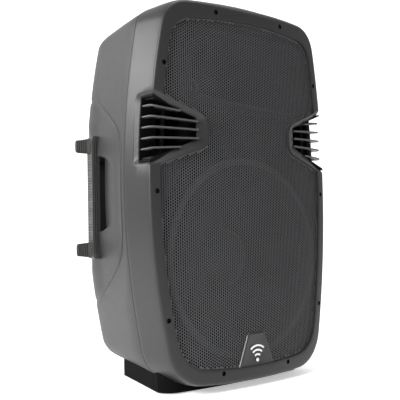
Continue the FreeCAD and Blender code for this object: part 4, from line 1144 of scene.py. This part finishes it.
def bar_ring(height, inset=0.0):
    """One ring round the bar: ribbed outside, a groove along its front, flared at its ends."""
    end = min(height - bar_low, bar_high - height)
    flare = foot_flare * max(0.0, 1 - end / 11)
    phase = (height - bar_low) / rib_pitch
    rib = 0.5 - 0.5 * math.cos(2 * math.pi * phase)
    ribbed = 2.4 * rib**0.6 * ease(end, 9, 13)
    outer = 6 - ribbed - inset
    front = -bar_half - flare + inset
    ring = [
        (outer, -bar_half + 4.4),
        (outer, -4),
        (outer, 4),
        (outer, bar_half - 4),
        (6 - inset - 0.6, bar_half - 2.3),
        (6 - inset - 2.6, bar_half - 0.3 - inset),
        (2, bar_half - inset),
        (-9, bar_half - inset),
        (-9, 0),
        (-9, front),
        (-3, front),
        (-2.6, front - 0.9),
        (-1.6, front - 0.9),
        (-1.0, front + 0.6),
        (0.6, front + 0.6),
        (1.2 - inset, front - 0.5),
        (2.2 - inset, front - 0.5),
        (2.8 - inset, front + 0.7),
        (4.6 - inset, front + 0.5),
        (5.4 - inset, -bar_half + 0.6 - flare + inset),
        (5.9 - inset, -bar_half + 1.7 - flare * 0.9 + inset),
        (5.9 - inset, -bar_half + 3.3 - flare * 0.7),
    ]
    return ring


bar_steps = 230
stops = [(2.2, bar_low), (0.8, bar_low + 0.5)]
for step in range(2, bar_steps - 1):
    stops.append((0.0, bar_low + (bar_high - bar_low) * step / bar_steps))
stops += [(0.8, bar_high - 0.5), (2.2, bar_high)]
bar = Mesh()
bar.tube([[beside_handle(x, y, z) for x, y in bar_ring(z, inset)] for inset, z in stops])

grip_plastic = moulded_plastic("grip_plastic", 0.026, gloss=0.4)
bar.pair("grip", [grip_plastic], "grip_plastic", "grip_bar", sharp=30)

# Bumpers. A stubby rubber block at each end of the bar, ribbed across, that keeps the cabinet
# off the ground when it lies on its side.

bumper_length = 35.5
bumper_height = 32.0
bumper_half = 9.5
bumper_turn = 33.4
bumper_tip = 4.0


def bumper_ring(along, middle):
    """A rounded rectangle across the bumper, tapered to its tip and grooved between ribs."""
    share = max(along, 0) / bumper_length
    tall = bumper_height / 2 - bumper_tip * share
    wide = bumper_half
    phase = math.sin(math.pi * (along - 9) / 4.4) ** 2
    groove = 1.5 * phase * ease(along, 8, 10) * (1 - ease(along, 28, 30))
    tip = 4.0 * (1 - math.sqrt(max(0.0, 1 - (max(along - bumper_length + 4, 0) / 4) ** 2)))
    tall -= groove + tip
    wide -= groove + tip
    corner = 3.4
    ring = []
    for quarter, (a, b) in enumerate(((1, 1), (-1, 1), (-1, -1), (1, -1))):
        for step in range(5):
            turn = math.pi / 2 * (quarter + step / 4)
            y = a * (wide - corner) + corner * math.cos(turn)
            z = b * (tall - corner) + corner * math.sin(turn)
            ring.append((y, middle + z))
    turn = math.radians(bumper_turn)
    start_x = -3.0
    start_y = 2.0
    placed = []
    for y, z in ring:
        x = start_x + along * math.cos(turn) - y * math.sin(turn)
        back = start_y + along * math.sin(turn) + y * math.cos(turn)
        placed.append(beside_handle(x, back, z))
    return placed


bumper_rubber = Finish("bumper_rubber")
speckle = bumper_rubber.noise(1100.0, 3.0)
wear = bumper_rubber.noise(30.0, 4.0)
bumper_paint = bumper_rubber.surface(
    base_color=bumper_rubber.tint(
        speckle * 0.5 + wear * 0.5, (0.008, 0.008, 0.006), (0.022, 0.022, 0.018)
    ),
    roughness=0.62 + wear * 0.15,
    normal=bumper_rubber.bump(speckle, 0.00009),
)
blocks = Mesh()
for middle in (bar_low + 1 + bumper_height / 2, bar_high - 1 - bumper_height / 2):
    stops = list(np.linspace(-6, bumper_length - 4.5, 75))
    stops += [bumper_length - left for left in (3.6, 2.6, 1.6, 0.8, 0.2, 0)]
    blocks.tube([bumper_ring(along, middle) for along in stops])
blocks.pair("bumper_pair", [bumper_paint], "bumper_rubber", "bumpers", sharp=50)

# Badge. A black gloss plate with a raised border, pushed through the grille into the moulding.
# A plain sign for sound stands on it in white.

badge_rows = ((0.0, 0.0), (1.0, -2.6), (1.6, -3.0), (4.0, -3.0), (4.6, -2.3), (5.4, -2.1))


def badge_outline(inset, fall):
    lean_in = (badge_foot - badge_head) / (badge_high - badge_low)
    wide = math.hypot(1, lean_in) * inset
    corners = [
        (badge_foot - wide - lean_in * inset, badge_low + inset),
        (badge_head - wide + lean_in * inset, badge_high - inset),
        (-badge_head + wide - lean_in * inset, badge_high - inset),
        (-badge_foot + wide + lean_in * inset, badge_low + inset),
    ]
    loop = []
    for index, corner in enumerate(corners):
        corner = np.array(corner)
        before = np.array(corners[index - 1])
        after = np.array(corners[(index + 1) % 4])
        cut = 5.5 - min(inset, 3) * 0.6
        start = corner + (before - corner) / np.linalg.norm(before - corner) * cut
        end = corner + (after - corner) / np.linalg.norm(after - corner) * cut
        loop.append(tuple(start))
        loop += [tuple(p) for p in bend_points(start, corner, end, 5)]
        for step in range(1, 8):
            nxt = after + (corner - after) / np.linalg.norm(corner - after) * cut
            loop.append(tuple(end + (nxt - end) * step / 8))
    return [(x, front_depth(x, sheet_recess) + fall, z) for x, z in loop]


plate = Mesh()
plate_rings = [badge_outline(inset, fall) for inset, fall in badge_rows]
plate.grid(plate_rings, closed=True)
plate.fill(plate_rings[-1])
gloss = Finish("badge_gloss")
haze = gloss.noise(60.0, 3.0)
badge_paint = gloss.surface(
    base_color=gloss.tint(haze, (0.008, 0.008, 0.009), (0.016, 0.016, 0.017)),
    roughness=0.32 + haze * 0.12,
    coat_weight=0.1,
)
badge_piece = plate.piece("badge_shield", [badge_paint], "badge_plate", sharp=40)
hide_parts("badge_plate")

# Knobs. Four moulded caps with gripping ribs and a white pointer, each pushed on the shaft of
# its own rotary control behind the amplifier panel.

knob_ribs = 18
pointer_low = 1.5
pointer_high = 7.4
pointer_section = ((0.55, 369.5), (-0.55, 369.5), (-0.44, 370.5), (0.44, 370.5))
knob_rings = (
    (352.0, 3.0, 0.0),
    (357.5, 3.0, 0.0),
    (357.6, 8.0, 0.0),
    (358.9, 8.0, 0.0),
    (359.5, 7.5, 0.4),
    (368.4, 7.0, 0.4),
    (369.3, 6.6, 0.15),
    (370.0, 5.8, 0.0),
)
knob_cap = moulded_plastic("knob_cap", 0.02, gloss=0.4)
pointer_white = Finish("pointer_white")
rub = pointer_white.noise(500.0, 2.0)
pointer_paint = pointer_white.surface(
    base_color=pointer_white.tint(rub, (0.7, 0.7, 0.68), (0.85, 0.85, 0.83)),
    roughness=0.4 + rub * 0.1,
)


for knob_name in ("knob_gain_one", "knob_gain_two", "knob_low", "knob_high"):
    low_corner, high_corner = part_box(knob_name)
    across = (low_corner[0] + high_corner[0]) * 500
    height = (low_corner[2] + high_corner[2]) * 500
    cap = Mesh()
    rings = []
    for depth, radius, ripple in knob_rings:
        ring = []
        for step in range(knob_ribs * 6):
            turn = 2 * math.pi * step / (knob_ribs * 6)
            reach = radius + ripple * math.cos(turn * knob_ribs)
            ring.append((across + reach * math.cos(turn), depth, height + reach * math.sin(turn)))
        rings.append(ring)
    cap.tube(rings)
    pointer = []
    for z in (pointer_low, pointer_high):
        pointer.append([(across + x, y, height + z) for x, y in pointer_section])
    cap.tube(pointer, paint=1)
    body = knob_name + "_body"
    made = cap.piece(knob_name + "_cap", [knob_cap, pointer_paint], "knob_plastic", body, sharp=40)
    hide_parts(knob_name)

# What stays as the frame has it: drivers, ducts, base, panel and controls, each given the
# finish of its real material; the ducts', basket's and base's finishes are also darkened as
# painted shade.


def plain_finish(name, dark, light, gloss, metal=0.0, scale=400.0, relief=0.00004, **more):
    """A fine-grained finish between two colours."""
    finish = Finish(name)
    grain = finish.noise(scale, 3.0)
    patch = finish.noise(scale / 30, 3.0)
    return finish.surface(
        base_color=finish.tint(grain * 0.5 + patch * 0.5, dark, light),
        roughness=gloss + (grain - 0.5) * 0.15,
        metallic=metal,
        normal=finish.bump(grain, relief),
        **more,
    )


def spun_finish(name, dark, light, gloss, height):
    """Pressed or turned metal and paper, with rings round the woofer's or horn's axis."""
    finish = Finish(name)
    centred = finish.node(
        "ShaderNodeVectorMath",
        {"operation": "SUBTRACT"},
        {0: finish.spots, 1: (0.0, 0.0, height / 1000)},
    )
    keep = {0: centred, 1: (1.0, 0.0, 1.0)}
    flat = finish.node("ShaderNodeVectorMath", {"operation": "MULTIPLY"}, keep)
    radius = finish.node("ShaderNodeVectorMath", {"operation": "LENGTH"}, {0: flat}, output="Value")
    rings = finish.node("ShaderNodeMath", {"operation": "SINE"}, {0: radius * 900.0})
    fibre = finish.noise(240.0, 5.0, roughness=0.7)
    return finish.surface(
        base_color=finish.tint(fibre * 0.8 + rings * 0.1, dark, light),
        roughness=gloss + fibre * 0.2,
        normal=finish.bump(rings * 0.3 + fibre, 0.00015),
        specular_IOR_level=0.2,
    )


def grey(value, tint=1.0):
    return (value, value, value * tint)


kept_finishes = {
    # The base and pole socket are black plastic darkened further, with almost no shine: partly their
    # own colour, partly painted shade under the cabinet.
    moulded_plastic("base_plastic", 0.003, gloss=0.8, shine=0.05): ("base_plinth", "pole_socket"),
    plain_finish("foot_rubber", grey(0.01), grey(0.03), 0.8): (
        "rubber_feet", "shell_gasket", "panel_gasket", "woofer_gasket_ring",
    ),
    plain_finish("black_screw", grey(0.008), grey(0.02), 0.35, metal=0.6): (
        "woofer_screws", "horn_screws", "hf_bolts", "panel_screws",
    ),
    # The ducts are black plastic darkened further, with little shine: partly their own colour, partly
    # painted shade for the vent's dark inside.
    plain_finish("duct_black_and_shade", grey(0.002), grey(0.004), 0.7, specular_IOR_level=0.1): (
        "vent_duct_left", "vent_duct_right",
    ),
    # The basket's black is darkened further, with little shine: partly its own paint, partly painted
    # shade behind the grille.
    plain_finish("basket_black_and_shade", grey(0.002), grey(0.004), 0.7, specular_IOR_level=0.15): (
        "woofer_basket",
    ),
    spun_finish("cone_paper", grey(0.003), grey(0.007), 0.75, woofer_height): ("woofer_cone",),
    spun_finish("dust_cap", grey(0.006), grey(0.014), 0.6, woofer_height): ("woofer_dust_cap",),
    spun_finish("surround_cloth", grey(0.002), grey(0.005), 0.75, woofer_height): ("woofer_surround",),
    spun_finish("spider_cloth", (0.42, 0.27, 0.1), (0.55, 0.38, 0.17), 0.85, woofer_height): (
        "woofer_spider",
    ),
    plain_finish("coil_copper", (0.62, 0.27, 0.13), (0.78, 0.38, 0.2), 0.3, metal=1.0): ("voice_coil",),
    plain_finish("zinc_plate", grey(0.55), grey(0.68), 0.35, metal=1.0): (
        "woofer_top_plate", "woofer_back_plate", "hf_front_plate",
    ),
    plain_finish("ferrite", grey(0.05, 1.05), grey(0.09, 1.05), 0.7): ("woofer_magnet", "hf_magnet"),
    spun_finish("horn_plastic", grey(0.002), grey(0.005), 0.65, horn_height): ("horn_flare",),
    plain_finish("titanium", grey(0.55, 0.97), grey(0.66, 0.97), 0.25, metal=1.0): ("hf_diaphragm",),
    plain_finish("driver_cap", grey(0.015), grey(0.03), 0.4): ("hf_rear_cap",),
    plain_finish("wadding", grey(0.5), grey(0.75), 0.95, scale=90.0, relief=0.002): ("damping_pads",),
    plain_finish("panel_paint", grey(0.018), grey(0.032), 0.5, scale=900.0): ("amp_panel",),
    plain_finish("sink_metal", grey(0.02), grey(0.04), 0.42, metal=0.7): ("heat_sink",),
    plain_finish("winding_tape", (0.75, 0.6, 0.12), (0.85, 0.7, 0.2), 0.5): ("transformer",),
    plain_finish("circuit_board", (0.01, 0.12, 0.04), (0.02, 0.2, 0.07), 0.4): ("circuit_board",),
    plain_finish("capacitor_can", (0.02, 0.03, 0.12), (0.03, 0.05, 0.2), 0.4): ("capacitors",),
    plain_finish("socket_metal", grey(0.3), grey(0.42), 0.34, metal=1.0): (
        "input_socket_one", "input_socket_two", "output_socket",
    ),
    plain_finish("latch_metal", grey(0.5), grey(0.62), 0.3, metal=1.0): ("latch_one", "latch_two"),
    plain_finish("switch_plastic", grey(0.012), grey(0.022), 0.4): (
        "power_switch_frame", "mains_inlet", "fuse_cap",
    ),
    plain_finish("rocker_plastic", grey(0.02), grey(0.03), 0.3): ("power_rocker",),
    plain_finish("lamp_lens", (0.02, 0.35, 0.05), (0.04, 0.5, 0.08), 0.15): ("status_lamp",),
    plain_finish("mark_white", grey(0.78), grey(0.86), 0.4): ("badge_mark",),
}
for finish, names in kept_finishes.items():
    for name in names:
        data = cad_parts[name].data
        data.materials.clear()
        data.materials.append(finish)

# Stage. A pale sweep under and behind the cabinet, soft daylight-white light all round, a large
# soft light high at the left and back, and a weaker one in front.

sweep_rows = [(-4.0, 0.0), (2.2, 0.0), (2.8, 0.12), (3.3, 0.45), (3.6, 0.95), (3.7, 1.6), (3.7, 4.5)]
sweep = bpy.data.meshes.new("studio_sweep")
sweep_points = [(x, y, z) for y, z in sweep_rows for x in (-5.0, 5.0)]
sweep_faces = [(2 * k, 2 * k + 1, 2 * k + 3, 2 * k + 2) for k in range(len(sweep_rows) - 1)]
sweep.from_pydata(sweep_points, [], sweep_faces)
sweep.polygons.foreach_set("use_smooth", [True] * len(sweep.polygons))
floor = bpy.data.objects.new("studio_sweep", sweep)
turn = math.radians(-40)
floor.rotation_euler = (0, 0, turn)
bpy.context.scene.collection.objects.link(floor)
card = Finish("studio_card")
tooth = card.noise(30.0, 2.0)
sweep.materials.append(
    card.surface(
        base_color=card.tint(tooth, (0.86, 0.86, 0.86), (0.89, 0.89, 0.89)),
        roughness=0.85 + tooth * 0.05,
        emission_color=(1, 1, 1, 1),
        emission_strength=0.45,
    )
)

world = bpy.data.worlds.new("studio_world")
bpy.context.scene.world = world
world.use_nodes = True
world.node_tree.nodes["Background"].inputs["Color"].default_value = (1, 1, 1, 1)
world.node_tree.nodes["Background"].inputs["Strength"].default_value = 0.47


def soft_light(name, spot, aim, width, height, watts):
    lamp = bpy.data.lights.new(name, "AREA")
    lamp.shape = "RECTANGLE"
    lamp.size = width
    lamp.size_y = height
    lamp.energy = watts
    holder = bpy.data.objects.new(name, lamp)
    holder.location = spot
    direction = mathutils.Vector(aim) - mathutils.Vector(spot)
    holder.rotation_euler = direction.to_track_quat("-Z", "Y").to_euler()
    bpy.context.scene.collection.objects.link(holder)


soft_light("left_back_light", (-1.7, 1.95, 1.55), (-0.15, 0, 0.45), 1.1, 0.9, 36)
soft_light("left_front_light", (-2.5, -0.4, 1.35), (0, 0, 0.45), 0.9, 0.9, 80)
soft_light("top_light", (0.2, -0.3, 2.5), (0, 0, 0.3), 1.8, 1.8, 30)
bpy.context.scene.view_settings.view_transform = "Standard"

# Camera, at the left of the front and a little below the cabinet's middle.

camera_spot = (-0.9473, -1.1609, 0.285)
camera_turn = math.radians(40)
camera_pitch = 0.0396674
camera_roll = 0.020553
camera_lens = 66.79
ahead = mathutils.Vector((math.sin(camera_turn), math.cos(camera_turn), 0))
level = mathutils.Vector((math.cos(camera_turn), -math.sin(camera_turn), 0))
down = mathutils.Vector((0, 0, -1))
forward = ahead * math.cos(camera_pitch) - down * math.sin(camera_pitch)
lower = down * math.cos(camera_pitch) + ahead * math.sin(camera_pitch)
right = level * math.cos(camera_roll) + lower * math.sin(camera_roll)
below = lower * math.cos(camera_roll) - level * math.sin(camera_roll)
lens = bpy.data.cameras.new("studio_camera")
lens.lens = camera_lens
lens.sensor_width = 36.0
camera = bpy.data.objects.new("studio_camera", lens)
axes = mathutils.Matrix((right, -below, -forward)).transposed()
camera.matrix_world = mathutils.Matrix.Translation(camera_spot) @ axes.to_4x4()
bpy.context.scene.collection.objects.link(camera)
bpy.context.scene.camera = camera
